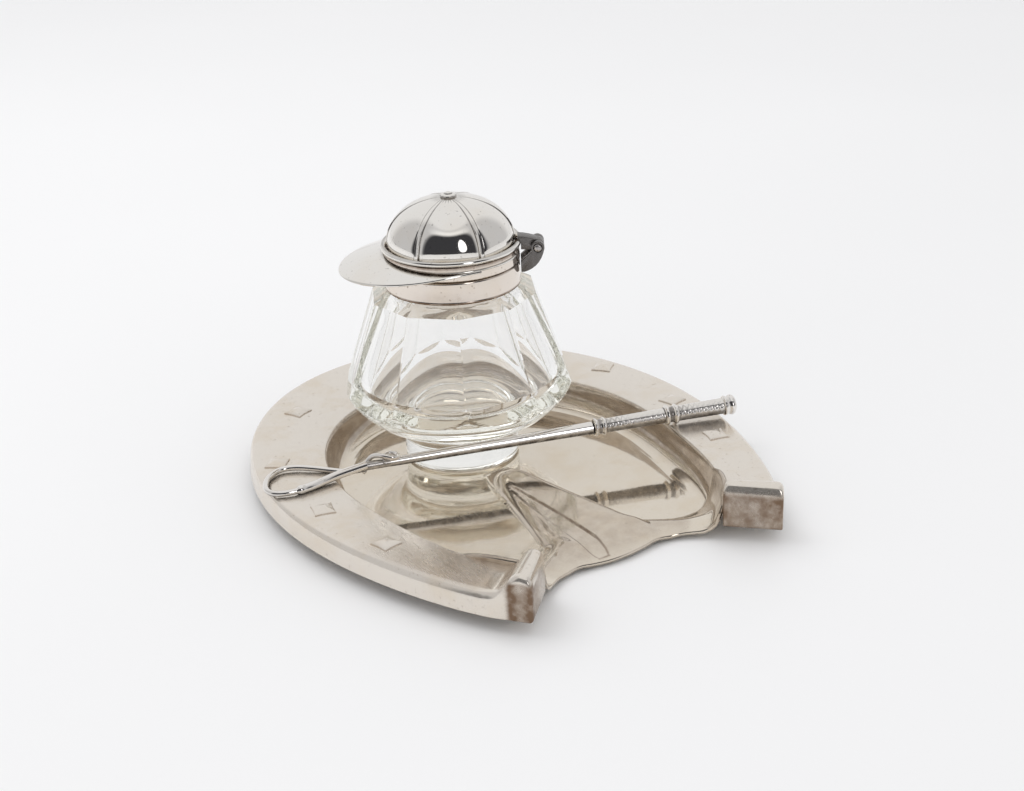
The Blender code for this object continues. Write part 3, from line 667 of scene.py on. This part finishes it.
def rings_along(points, radii, sides=24, relief=None):
    """Round sections along points; relief gives each ring's radius changes from its angles."""
    rings = []
    up = Vector((0, 0, 1))
    angles = np.linspace(0, 2 * math.pi, sides, endpoint=False)
    for i, point in enumerate(points):
        ahead = points[min(i + 1, len(points) - 1)] - points[max(i - 1, 0)]
        side = ahead.cross(up).normalized()
        top = side.cross(ahead).normalized()
        swell = relief(i, angles) if relief else np.zeros(sides)
        ring = []
        for angle, rise in zip(angles, swell):
            ring.append(point + (side * math.cos(angle) + top * math.sin(angle)) * (radii[i] + rise))
        rings.append(ring)
    return rings


def crop_piece(node, stations, slot="crop_silver", count=60, sides=32, relief=None):
    """A piece turned about the crop's axis from (place along the crop, radius in mm) pairs."""
    start, stop = stations[0][0], stations[-1][0]
    places = np.linspace(start, stop, count)
    radii = curve(stations, places) * MM
    rings = rings_along([crop_point(t) for t in places], radii, sides, relief)
    return piece(node + "_finish", skin(node, rings), "tray", slot, [node], 45)


def chasing(length_mm, depth, wraps=3.5):
    """Crossing spiral cuts, as on a plaited grip: deepest where two strands pass."""
    def relief(i, angles):
        place = i / (GRIP_RINGS - 1) * length_mm
        one = np.abs(np.sin(2.0 * angles + place * wraps / 2))
        two = np.abs(np.sin(2.0 * angles - place * wraps / 2))
        return (np.minimum(one, two) ** 0.5 - 1.0) * depth * MM
    return relief


def smooth_route(points, steps):
    """Points along a smooth curve that passes through all of the given ones."""
    route = []
    for i in range(len(points) - 1):
        p0, p1 = points[max(i - 1, 0)], points[i]
        p2, p3 = points[i + 1], points[min(i + 2, len(points) - 1)]
        for t in np.linspace(0, 1, steps, endpoint=False):
            bend = p0 * 2 - p1 * 5 + p2 * 4 - p3
            twist = p1 * 3 - p0 - p2 * 3 + p3
            route.append((p1 * 2 + (p2 - p0) * t + bend * t**2 + twist * t**3) / 2)
    return route + [points[-1]]


def make_thong():
    """The thong's loop; its lower strand is doubled in a sleeve that ends just past the bend."""
    side = Vector((-CROP_STEP.y, CROP_STEP.x, 0)).normalized()
    up = Vector((0, 0, 1))
    route = smooth_route([crop_point(t) + (side * across + up * rise) * MM for t, across, rise in THONG], 16)
    along = np.linspace(0, 1, len(route))
    sleeve = smooth(0.728, 0.746, along)
    lip = np.exp(-(((along - 0.75) / 0.012) ** 2))
    radii = (0.88 + 0.42 * sleeve + 0.16 * lip) * MM
    mesh = skin("thong", rings_along(route, radii, 20))
    obj = piece("crop_thong_loop_finish", mesh, "tray", "crop_silver", ["crop_thong_loop"], 50)
    height = (points_of(obj)[:, 2] - crop_point(0.05).z) / MM
    # Painted shade along the underside of the thong.
    paint_grime_and_shade(obj.data, 0.85 * smooth(0.15, -0.7, height))


def make_knot():
    """The knot: a core with the thong's end wound about it and tucked under itself."""
    start = crop_point(KNOT_ENDS[0])
    core = rings_along([crop_point(t) for t in np.linspace(*KNOT_ENDS, 20)], [1.4 * MM] * 20, 20)
    along = CROP_STEP.normalized()
    side = along.cross(Vector((0, 0, 1))).normalized()
    top = side.cross(along).normalized()
    frame_of_knot = Matrix((along, side, top)).transposed()
    turns = [start + frame_of_knot @ (Vector(point) * MM) for point in KNOT_WINDING]
    path = smooth_route(turns, 12)
    shares = np.linspace(0, 1, len(path))
    radii = [(0.3 + 0.5 * min(1.0, 7 * share, 9 * (1 - share))) * MM for share in shares]
    mesh = skin("knot_core", core)
    obj = piece("crop_knot_finish", mesh, "tray", "crop_silver", ["crop_knot"], 50)
    paint_grime_and_shade(obj.data, np.full(len(obj.data.vertices), 0.55))
    mesh = skin("knot_winding", coil_rings(path, radii, 14))
    wound = piece("crop_knot_winding", mesh, "tray", "crop_silver", ["crop_knot"], 50)
    paint_grime_and_shade(wound.data, 0.9 * smooth(2.1, 1.3, distance_from_crop(wound)))


def coil_rings(path, radii, sides):
    """Round sections along a coiled path, each square to it."""
    rings = []
    side = None
    for i, point in enumerate(path):
        ahead = (path[min(i + 1, len(path) - 1)] - path[max(i - 1, 0)]).normalized()
        side = ahead.orthogonal() if side is None else side - ahead * side.dot(ahead)
        side = side.normalized()
        top = ahead.cross(side)
        angles = np.linspace(0, 2 * math.pi, sides, endpoint=False)
        rings.append([point + (side * math.cos(a) + top * math.sin(a)) * radii[i] for a in angles])
    return rings


def make_crop():
    """The riding crop: a bright shaft, beaded collars and cap, and two chased grips."""
    shaft = crop_piece("crop_shaft", SHAFT, count=90)
    # Painted shade along the shaft's underside.
    paint_grime_and_shade(shaft.data, underside_shade(shaft))
    turned_beads(crop_piece("crop_collar_front", COLLAR_FRONT))
    turned_beads(crop_piece("crop_collar_rear", COLLAR_REAR))
    grips = (("crop_handle_front", HANDLE_FRONT, 18.9), ("crop_handle_rear", HANDLE_REAR, 14.8))
    for node, stations, length_mm in grips:
        cuts = chasing(length_mm, GRIP_CUT)
        obj = crop_piece(node, stations, "crop_grip_silver", GRIP_RINGS, GRIP_SIDES, cuts)
        # Grime in the cuts, and painted shade along the grip's underside.
        paint_grime_and_shade(obj.data, cut_grime_and_underside_shade(obj))
    turned_beads(crop_piece("crop_butt_cap", BUTT_CAP, count=90))
    make_knot()
    make_thong()


def distance_from_crop(obj):
    """Distance of each point from the crop's axis, in mm."""
    offset = points_of(obj) - np.array(CROP_TIP)
    return np.linalg.norm(np.cross(offset, np.array(CROP_STEP.normalized())), axis=1) / MM


def underside_shade(obj):
    """Painted shade along the underside of the crop."""
    offset = points_of(obj) - np.array(CROP_TIP)
    along = np.array(CROP_STEP.normalized())
    above = (offset - np.outer(offset @ along, along))[:, 2] / MM
    return 0.95 * smooth(0.6, -0.8, above)


def deep_places(obj, percent):
    """1 at the bottom of a turned piece's relief, 0 from a little under half its height."""
    distance = distance_from_crop(obj)
    deepest, highest = np.percentile(distance, (percent, 100 - percent))
    return smooth(deepest + 0.45 * (highest - deepest), deepest, distance)


def cut_grime_and_underside_shade(obj):
    """Grime in a grip's cuts, and painted shade along its underside."""
    return np.maximum(0.5 * deep_places(obj, 2), 0.8 * underside_shade(obj))


def turned_beads(obj):
    """Grime in the necks between a turned piece's beads."""
    paint_grime_and_shade(obj.data, 0.8 * deep_places(obj, 5))


# ---- the glass ----
FACETS = 10
FACET_TURN = math.radians(-8.9)
FACET_CHAMFER = math.radians(0.45)
RIDGE_Z = 28.9
FACET_TOP_Z = 57.4
FACET_APOTHEM = (34.9, 25.3)
NECK_R = 19.1
SHOULDER = (22.0, 59.4)  # radius and height of the round edge where the facets' slanted tops meet the neck
NECK_PROFILE = (
    (20.6, 59.75), (19.5, 60.0), (NECK_R, 60.5), (NECK_R, 63.0), (NECK_R, 65.0), (18.9, 65.4), (18.5, 65.6),
)
BODY_PROFILE = (  # (height, radius) below the facets
    (1.5, 17.0), (1.7, 17.9), (2.2, 18.45), (3.5, 18.5), (6.5, 18.5), (10.8, 18.7), (12.4, 19.2),
    (13.8, 20.8), (15.0, 23.4), (16.0, 26.4), (17.2, 28.6), (19.2, 31.0), (22.6, 34.3), (25.4, 36.2),
    (27.2, 36.8), (28.4, 36.7), (29.6, 36.2), (31.0, 35.5),
)
WELL_PROFILE = (  # (radius, height) from the mouth down to the middle of the floor
    (13.7, 65.6), (13.25, 65.2), (13.2, 64.0), (13.2, 61.2), (13.9, 59.6), (16.0, 58.0), (19.2, 55.6),
    (22.0, 48.6), (24.7, 41.8), (29.0, 31.0), (29.3, 28.6), (27.8, 25.7), (23.6, 23.7), (15.0, 22.8),
    (5.0, 22.6), (0.4, 22.6),
)


def facet_angles():
    """Angles round the glass, closer together at the facets' edges."""
    half = [0, 0.25, 0.45, 0.65, 1.0, 1.8, 3.2, 5.2, 7.6, 10.2, 12.8, 15.4]
    step = 360 / FACETS
    offsets = half + [step / 2] + [step - h for h in reversed(half[1:])]
    return np.radians([step * f + o for f in range(FACETS) for o in offsets]) + FACET_TURN


def facet_radius(angles, z):
    """Radius in mm of the ten planes at a height, with a narrow polished chamfer on each edge."""
    share = (z - RIDGE_Z) / (FACET_TOP_Z - RIDGE_Z)
    apothem = FACET_APOTHEM[0] + (FACET_APOTHEM[1] - FACET_APOTHEM[0]) * share
    step = 2 * math.pi / FACETS
    off_centre = np.abs((angles - FACET_TURN) % step - step / 2)
    off_centre = np.minimum(off_centre, step / 2 - FACET_CHAMFER)
    return apothem / np.cos(off_centre)


def make_glass():
    """The bottle as one skin: under the foot, up the body, facets and neck, and down inside the well."""
    angles = facet_angles()
    bottom = BODY_PROFILE[0][0]
    rings = [level_ring(angles, np.full(len(angles), radius), bottom) for radius in (0.4, 6.0, 12.0, 16.0)]
    for z in np.concatenate((np.linspace(bottom, 24, 60, endpoint=False), np.linspace(24, 31, 42))):
        round_r = float(curve(BODY_PROFILE, z))
        ring = np.minimum(round_r, facet_radius(angles, z)) if z > 22 else np.full(len(angles), round_r)
        rings.append(level_ring(angles, ring, z))
    for z in np.linspace(31.5, FACET_TOP_Z, 14):
        rings.append(level_ring(angles, facet_radius(angles, z), z))
    top = facet_radius(angles, FACET_TOP_Z)
    for share in (0.15, 0.4, 0.7, 0.9, 1.0):
        z = FACET_TOP_Z + (SHOULDER[1] - FACET_TOP_Z) * share**0.9
        rings.append(level_ring(angles, top + (SHOULDER[0] - top) * share, z))
    for radius, z in (*NECK_PROFILE, *well_points()):
        rings.append(level_ring(angles, np.full(len(angles), radius), z))
    piece("glass_bottle_finish", skin("glass", rings), "inkwell", "clear_glass", ["glass_bottle"], 14)


def well_points():
    """The well's profile from its mouth down to the middle of its floor, with soft turns."""
    route = smooth_route([Vector((r, z, 0)) for r, z in WELL_PROFILE], 4)
    return [(p.x, p.y) for p in route]


# ---- the collar and the hinge ----
COLLAR_MOUTH = 14.4
COLLAR_SHEET = 0.9
CEMENT_RADII = (19.25, 20.15)


def make_collar():
    """The neck's silver collar, its lower edge finely beaded, and the cement that holds it."""
    low, high = collar_low.z / MM, collar_high.z / MM
    r = COLLAR_R / MM
    corners = (
        (COLLAR_MOUTH, high, 0.3), (r - 0.1, high, 0.7), (r + 0.12, (low + high) / 2, 1.2),
        (r, low + 0.9, 0.3), (r + 0.12, low + 0.6, 0.12), (r + 0.1, low, 0.3), (r - 1.0, low, 0.2),
        (r - 1.0, high - COLLAR_SHEET, 0.3), (COLLAR_MOUTH, high - COLLAR_SHEET, 0.3),
    )
    mesh = turned("collar", corners, 6)
    obj = piece("neck_collar_finish", mesh, "inkwell", "collar_silver", ["neck_collar"], 50)
    height = points_of(obj)[:, 2] / MM
    offset = points_of(obj) - np.array(BOTTLE_AXIS)
    stain = np.exp(-(((np.degrees(np.arctan2(offset[:, 1], offset[:, 0])) + 128) / 26) ** 2))
    stain *= smooth(high - 1.5, low + 1.5, height)
    rubbed = 0.95 * smooth(low + 0.95, low + 0.35, height) + 0.5 * smooth(high - 0.7, high, height)
    paint_grime_and_shade(obj.data, rubbed + 0.24 * stain)
    low, high = (corner.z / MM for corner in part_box("neck_plaster"))
    inner, outer = CEMENT_RADII
    corners = ((inner, low, 0.1), (outer, low, 0.1), (outer, high, 0.1), (inner, high, 0.1))
    mesh = turned("cement", corners, 3)
    piece("neck_plaster_finish", mesh, "inkwell", "plaster", ["neck_plaster"], 50)


PIN_R = 1.2
KNUCKLE_R = 2.1
LEAF_HALF = 2.2
LEAF_GAP = 0.3
LUG_THICK = 1.6
# Outlines in mm about the pin, out from the bottle and up; an arc round the knuckle closes each.
LUG_FOOT = (
    (-5.4, -4.3), (-5.4, -7.7), (-4.4, -7.7), (-3.2, -7.3), (-2.0, -6.7), (-0.8, -5.8), (0.2, -4.7),
    (1.0, -3.4), (1.6, -2.0),
)
LEAF_ROOT = ((-6.2, 1.2), (-5.2, 1.0), (-5.2, -0.9))
LEAF_TOP = ((-0.8, 2.35), (-2.4, 2.8), (-4.4, 3.25), (-6.2, 3.4))


def hinge_matrix():
    """Local frame on the pin's axis: x out from the bottle, y along the pin, z up."""
    return Matrix.Translation(PIN_CENTRE) @ Matrix.Rotation(HINGE_ANGLE, 4, "Z")


def arc(radius, start, stop, step=6):
    """Points of an arc about the pin, in mm, between two angles in degrees."""
    degrees = np.arange(start, stop + 0.1, step)
    return [(radius * math.cos(math.radians(d)), radius * math.sin(math.radians(d))) for d in degrees]


def hinge_plate(outline, low, high, body, node):
    """One leaf of the hinge, drilled for the pin, with its edges broken."""
    matrix = hinge_matrix()
    rings = [[matrix @ Vector((x * MM, y * MM, z * MM)) for x, z in outline] for y in (low, high)]
    obj = piece(node + "_finish", skin(node, rings), body, "hinge_silver", [node], 30)
    drill = bmesh.new()
    hole = (PIN_R + 0.2) * MM
    bmesh.ops.create_cone(drill, cap_ends=True, segments=48, radius1=hole, radius2=hole, depth=20 * MM)
    drill.transform(matrix @ Matrix.Rotation(math.pi / 2, 4, "X"))
    if drill.calc_volume(signed=True) < 0:
        bmesh.ops.reverse_faces(drill, faces=drill.faces)
    drill_mesh = bpy.data.meshes.new("drill")
    drill.to_mesh(drill_mesh)
    drill.free()
    cutter = add_object("drill", drill_mesh)
    cut = obj.modifiers.new("pin hole", "BOOLEAN")
    cut.object = cutter
    edge = obj.modifiers.new("broken edge", "BEVEL")
    edge.width = 0.14 * MM
    edge.segments = 3
    edge.limit_method = "ANGLE"
    edge.angle_limit = math.radians(40)
    bpy.context.view_layer.update()
    made = bpy.data.meshes.new_from_object(obj.evaluated_get(bpy.context.evaluated_depsgraph_get()))
    obj.modifiers.clear()
    obj.data = made
    made.shade_smooth()
    made.set_sharp_from_angle(angle=math.radians(35))
    bpy.data.objects.remove(cutter)
    return obj


def make_hinge():
    """Two lugs on the collar, the lid's leaf between them, and the pin through all three."""
    inside, outside = LEAF_HALF + LEAF_GAP, LEAF_HALF + LEAF_GAP + LUG_THICK
    lug = [*LUG_FOOT, *arc(KNUCKLE_R, -22, 214)]
    hinge_plate(lug, -outside, -inside, "inkwell", "collar_lug_near")
    hinge_plate(lug, inside, outside, "inkwell", "collar_lug_far")
    leaf = [*LEAF_ROOT, *arc(KNUCKLE_R, -146, 72), *LEAF_TOP]
    hinge_plate(leaf, -LEAF_HALF, LEAF_HALF, "lid", "lid_hinge_leaf")
    reach = outside + 0.5
    places = [-reach - 0.12, -reach + 0.05, -reach + 0.25, reach - 0.25, reach - 0.05, reach + 0.12]
    radii = [share * PIN_R * MM for share in (0.5, 0.85, 1.0, 1.0, 0.85, 0.5)]
    matrix = hinge_matrix()
    rings = rings_along([matrix @ Vector((0, y * MM, 0)) for y in places], radii, 40)
    piece("hinge_pin_finish", skin("pin", rings), "inkwell", "pin_metal", ["hinge_pin"], 50)


# ---- the jockey cap ----
DOME_R = 20.0
DOME_POWER = 2.15
PANELS = 6
SEAM_RISE = 0.42
PANEL_PUFF = 0.55
PEAK_REACH = 13.6
PEAK_DROP = 0.32
PEAK_SHEET = 0.8
PEAK_SPREAD = math.radians(116)
BUTTON_GROOVE_R = 1.18
BUTTON_PROFILE = (  # radius, height and the depth of the cuts between petals
    (2.35, -0.5, 0.0), (2.6, -0.2, 0.1), (2.65, 0.05, 0.25), (2.3, 0.4, 0.3), (1.7, 0.6, 0.2),
    (1.3, 0.62, 0.1), (BUTTON_GROOVE_R, 0.55, 0.0), (1.12, 0.7, 0.0), (0.95, 0.95, 0.0), (0.6, 1.12, 0.0),
    (0.2, 1.18, 0.0),
)
BEAD_R, RIDGE_R = 0.85, 0.34
LINER_CORNERS = (  # radius, height and rounding of the ring that seats the lid in the neck
    (19.9, 71.7, 0.1), (19.9, 70.7, 0.1), (13.1, 70.7, 0.4), (12.6, 65.3, 0.3), (11.9, 65.3, 0.2),
    (11.9, 71.7, 0.2),
)


def dome_radius(share):
    return DOME_R * (1 - share**DOME_POWER) ** (1 / DOME_POWER)


def panel_offsets(radius, seam_half):
    """Distances in mm from a seam to the middle of a panel, closer together at the seam."""
    reach = math.pi / PANELS * radius
    near = np.array([0, 0.3, 0.6, 0.8, 0.95, 1.1, 1.25, 1.45, 1.75]) * seam_half
    near = np.minimum(near, reach * 0.7)
    return np.concatenate((near, np.linspace(near[-1], reach, 10)[1:])), reach


def make_crown():
    """The crown: six puffed panels, a flat raised seam with a cut line along each side of it."""
    shares = np.sin(np.linspace(0, 1, 70)[:-1] * math.pi / 2)
    rings, grime_and_shade = [], []
    height = (DOME_TOP - DOME_BASE) / MM
    for share in shares:
        radius = dome_radius(share)
        seam_half = 0.28 + 0.42 * float(smooth(1.0, 14.0, radius))
        offsets, reach = panel_offsets(radius, seam_half)
        ratio = offsets / seam_half
        fade = float(smooth(0, 0.05, share) * smooth(1.0, 0.975, share))
        seam = SEAM_RISE * (1 - smooth(0.8, 1.12, ratio))
        cut = 0.16 * np.exp(-(((ratio - 1.25) / 0.16) ** 2))
        fullness = PANEL_PUFF * math.sqrt(1 - share**2.5) * float(smooth(0, 0.25, share))
        lift = (seam - cut) * fade + fullness * (np.sin(math.pi / 2 * offsets / reach) ** 0.9 - 0.3)
        line = np.exp(-(((ratio - 1.2) / 0.2) ** 2)) * fade
        angle = offsets / radius
        panel = 2 * math.pi / PANELS
        whole = np.concatenate((angle, panel - angle[-2:0:-1]))
        lifts = np.concatenate((lift, lift[-2:0:-1]))
        lines = np.concatenate((line, line[-2:0:-1]))
        angles = np.concatenate([PEAK_ANGLE + panel * k + whole for k in range(PANELS)])
        radii = radius + np.tile(lifts, PANELS)
        rings.append(level_ring(angles, radii, DOME_BASE / MM + height * share))
        short = (0.5 + 0.5 * np.cos(36 * angles)) ** 4 * float(smooth(6.2, 3.6, radius)) * 0.9
        grime_and_shade.append(np.maximum(np.tile(lines, PANELS) * 0.9, short))
    outer_angles = [np.arctan2(r[:, 1] - BOTTLE_AXIS.y, r[:, 0] - BOTTLE_AXIS.x) for r in rings]
    inner = []
    for share, angles in list(zip(shares, outer_angles))[::4]:
        radius = np.full(len(angles), max(dome_radius(share) - SHEET / MM, 0.4 * (1 + share)))
        inner.append(level_ring(angles, radius, DOME_BASE / MM + (height - SHEET / MM) * share))
    mesh = skin("crown", list(reversed(inner)) + rings)
    clean = np.zeros(len(inner) * len(grime_and_shade[0]))
    paint_grime_and_shade(mesh, np.concatenate([clean, *grime_and_shade]))
    piece("cap_crown_finish", mesh, "lid", "cap_silver", ["cap_crown"], 60)


def make_button():
    """The button: a small rosette, its edge cut into petals."""
    angles = np.linspace(0, 2 * math.pi, 96, endpoint=False)
    petals = np.abs(np.cos(5 * angles)) ** 0.6
    low = BUTTON_LOW / MM
    rings = [level_ring(angles, r - c * (1 - petals), low + z) for r, z, c in BUTTON_PROFILE]
    obj = piece("cap_button_finish", skin("button", rings), "lid", "cap_silver", ["cap_button"], 50)
    points = points_of(obj)
    groove = np.exp(-(((from_bottle_axis(points) - BUTTON_GROOVE_R) / 0.1) ** 2))
    paint_grime_and_shade(obj.data, 0.8 * groove + 0.6 * smooth(low + 0.3, low, points[:, 2] / MM))


def make_band():
    """The cap's plain band, with a rolled bead over it and a fine ridge round it."""
    low, high, r = BAND_LOW / MM, BAND_HIGH / MM, LID_R / MM
    corners = (
        (r - 0.05, high, 0.3), (r + 0.12, (low + high) / 2, 1.0), (r + 0.05, low, 0.35),
        (r - 1.1, low, 0.2), (r - 1.1, high, 0.2),
    )
    mesh = turned("band", corners, 6)
    obj = piece("lid_band_finish", mesh, "lid", "collar_silver", ["lid_band"], 50)
    height = points_of(obj)[:, 2] / MM
    # Painted shade under the bead, and a darker line along the band's lower edge.
    shade_under_bead = smooth(high - 0.9, high - 0.1, height)
    paint_grime_and_shade(obj.data, 0.9 * shade_under_bead + 0.5 * smooth(low + 0.35, low, height))
    ring_wire("lid_bead_finish", r, high + 0.15 + BEAD_R, BEAD_R, 0.115)
    ring_wire("band_ridge", r + 0.22, high - 1.75, RIDGE_R, 0.26)


def ring_wire(name, radius, z, thick, parting):
    """A rolled wire round the cap, parted by an angle to each side where the hinge's leaf passes."""
    angles = np.linspace(HINGE_ANGLE + parting, HINGE_ANGLE + 2 * math.pi - parting, 220)
    turns = np.linspace(0, 2 * math.pi, 18, endpoint=False)
    rings = []
    for i, angle in enumerate(angles):
        end = min(i, len(angles) - 1 - i)
        size = thick * min(1.0, 0.55 + 0.15 * end)
        rings.append(radial_section(angle, radius + size * np.cos(turns), z + size * np.sin(turns)))
    obj = piece(name, skin(name, rings), "lid", "cap_silver", ["lid_bead"], 50)
    height = (points_of(obj)[:, 2] / MM - z) / thick
    # Painted shade along the wire's underside, and a darker line along its top.
    paint_grime_and_shade(obj.data, 0.95 * smooth(-0.35, -0.95, height) + 0.5 * smooth(0.75, 1.0, height))


def make_peak():
    """The peak: a thin crescent that slopes down and away, with a softly turned edge."""
    root, top = LID_R / MM + 0.2, BAND_HIGH / MM - 1.0
    rings = []
    across = np.concatenate((np.linspace(0, 0.92, 14), (0.96, 0.985, 1.0)))
    for turn in np.linspace(-PEAK_SPREAD, PEAK_SPREAD, 140):
        share = (math.cos(turn) - math.cos(PEAK_SPREAD)) / (1 - math.cos(PEAK_SPREAD))
        reach = 0.6 + PEAK_REACH * max(0.0, share) ** 1.8
        level = top - 0.8 * (1 - share)
        to_edge = np.clip((across - 1) * reach / (PEAK_SHEET / 2) + 1, 0, 1)
        edge = PEAK_SHEET / 2 * (1 - np.sqrt(1 - to_edge**2))
        fall = PEAK_DROP * reach * across * (0.85 + 0.15 * across)
        out = root + reach * across
        upper, lower = level - fall - edge, level - fall - PEAK_SHEET + edge
        radii, heights = np.concatenate((out, out[::-1])), np.concatenate((upper, lower[::-1]))
        rings.append(radial_section(PEAK_ANGLE + turn, radii, heights))
    obj = piece("cap_peak_finish", skin("peak", rings), "lid", "cap_silver", ["cap_peak"], 50)
    paint_grime_and_shade(obj.data, 0.45 * smooth(root + 1.2, root, from_bottle_axis(points_of(obj))))


def make_liner():
    """The seating ring inside the lid."""
    mesh = turned("liner", LINER_CORNERS, 4)
    obj = piece("lid_liner_finish", mesh, "lid", "collar_silver", ["lid_liner"], 50)
    paint_grime_and_shade(obj.data, 0.55 * smooth(70.2, 70.8, points_of(obj)[:, 2] / MM))


# ---- floor, light and camera ----
CAMERA_AZIMUTH, CAMERA_ELEVATION, CAMERA_ROLL = (math.radians(d) for d in (-31.33, 24.07, -2.57))
CAMERA_DISTANCE = 0.537
CAMERA_TARGET = Vector((0.00037, -0.01172, 0.03199))
CAMERA_LENS = 61.4
FLOOR_HALF = 3.0
STUDIO_WHITE = (0.85, 0.85, 0.855)
STUDIO_PANELS = (  # centre and half size (azimuth, elevation in degrees), squareness, softness, radiance
    ((-31, 20), (128, 50), 4, 0.10, (0.60, 0.60, 0.61)),
    ((-31, 60), (62, 7), 3, 0.55, (0.98, 0.98, 0.98)),
    ((-31, 22), (62, 35), 5, 0.12, (0.045, 0.045, 0.05)),
    ((-3, 24), (8, 17), 2, 0.22, (3.2, 3.2, 3.3)),
)


def make_floor():
    """A large pale floor, all but even in tone."""
    n = Finish("floor")
    tone = n.band(n.noise(3, 2, 0.5), 0.3, 0.7)
    n.set(Base_Color=n.mix(tone, (0.905, 0.905, 0.91, 1), (0.92, 0.92, 0.925, 1)), Roughness=0.5)
    n.set(Specular_IOR_Level=0.3)
    corners = [(x * FLOOR_HALF, y * FLOOR_HALF, 0) for x, y in ((-1, -1), (1, -1), (1, 1), (-1, 1))]
    mesh = bpy.data.meshes.new("floor")
    mesh.from_pydata(corners, [], [(0, 1, 2, 3)])
    mesh.materials.append(n.mat)
    obj = add_object("floor", mesh)


def make_world():
    """A white tent that is open at the front: a pale back and sides, a darker room, one window.

    The panels show only where a ray from the camera is mirrored once; all else sees the white tent.
    """
    world = bpy.data.worlds.new("studio")
    bpy.context.scene.world = world
    n = Nodes(world)
    axes = n.add("ShaderNodeSeparateXYZ", {0: n.add("ShaderNodeTexCoord").outputs["Generated"]})
    x, y, z = axes.outputs
    azimuth = n.math("MULTIPLY", n.math("ARCTAN2", x, n.math("MULTIPLY", y, -1.0)), 180 / math.pi)
    elevation = n.math("MULTIPLY", n.math("ARCSINE", z), 180 / math.pi)

    def reach(value, centre, half, square):
        off = n.math("DIVIDE", n.math("ABSOLUTE", n.math("SUBTRACT", value, centre)), half)
        return n.math("POWER", off, square)

    rays = n.add("ShaderNodeLightPath").outputs
    first = n.math("LESS_THAN", rays["Ray Depth"], 2.5)
    outside_glass = n.math("SUBTRACT", 1.0, rays["Is Transmission Ray"])
    mirrored = n.math("MULTIPLY", n.math("MULTIPLY", rays["Is Glossy Ray"], first), outside_glass)
    colour = (*STUDIO_WHITE, 1)
    for centre, half, square, soft, radiance in STUDIO_PANELS:
        across = reach(azimuth, centre[0], half[0], square)
        upward = reach(elevation, centre[1], half[1], square)
        total = n.math("POWER", n.math("ADD", across, upward), 1 / square)
        inside = n.band(total, 1 + soft, 1 - soft)
        colour = n.mix(n.math("MULTIPLY", inside, mirrored), colour, (*radiance, 1))
    n.join(colour, n.tree.nodes["Background"].inputs["Color"])


def make_lights():
    """One large soft light above and behind, for form and a faint shadow towards the front."""
    data = bpy.data.lights.new("overhead", "AREA")
    data.shape = "RECTANGLE"
    data.size, data.size_y = 0.9, 0.7
    data.energy = 2.6
    obj = add_object("overhead", data)
    obj.location = (-0.25, 0.45, 0.95)
    obj.rotation_euler = (-obj.location).to_track_quat("-Z", "Y").to_euler()
    obj.visible_glossy = False


def make_camera():
    """The camera, turned about its own axis by the roll."""
    a, e, roll = CAMERA_AZIMUTH, CAMERA_ELEVATION, CAMERA_ROLL
    back = Vector((math.sin(a) * math.cos(e), -math.cos(a) * math.cos(e), math.sin(e)))
    level = Vector((math.cos(a), math.sin(a), 0))
    upright = back.cross(level)
    right = level * math.cos(roll) + upright * math.sin(roll)
    up = upright * math.cos(roll) - level * math.sin(roll)
    data = bpy.data.cameras.new("camera")
    data.lens = CAMERA_LENS
    data.sensor_width = 36
    data.clip_start = 0.01
    obj = add_object("camera", data)
    turn = Matrix((right, up, back)).transposed().to_4x4()
    obj.matrix_world = Matrix.Translation(CAMERA_TARGET + back * CAMERA_DISTANCE) @ turn
    bpy.context.scene.camera = obj


# ---- everything ----
bpy.context.scene.view_settings.view_transform = "Standard"
# Light turns round inside the thick glass many times before it leaves: fewer bounces draw black bands.
bpy.context.scene.cycles.glossy_bounces = 16
bpy.context.scene.cycles.transmission_bounces = 16
bpy.context.scene.cycles.max_bounces = 20
FINISHES = make_materials()
for make in (
    make_shoe, make_studs, make_sole, make_crop, make_glass, make_collar, make_hinge, make_crown, make_button,
    make_band, make_peak, make_liner, make_floor, make_world, make_lights, make_camera,
):
    make()
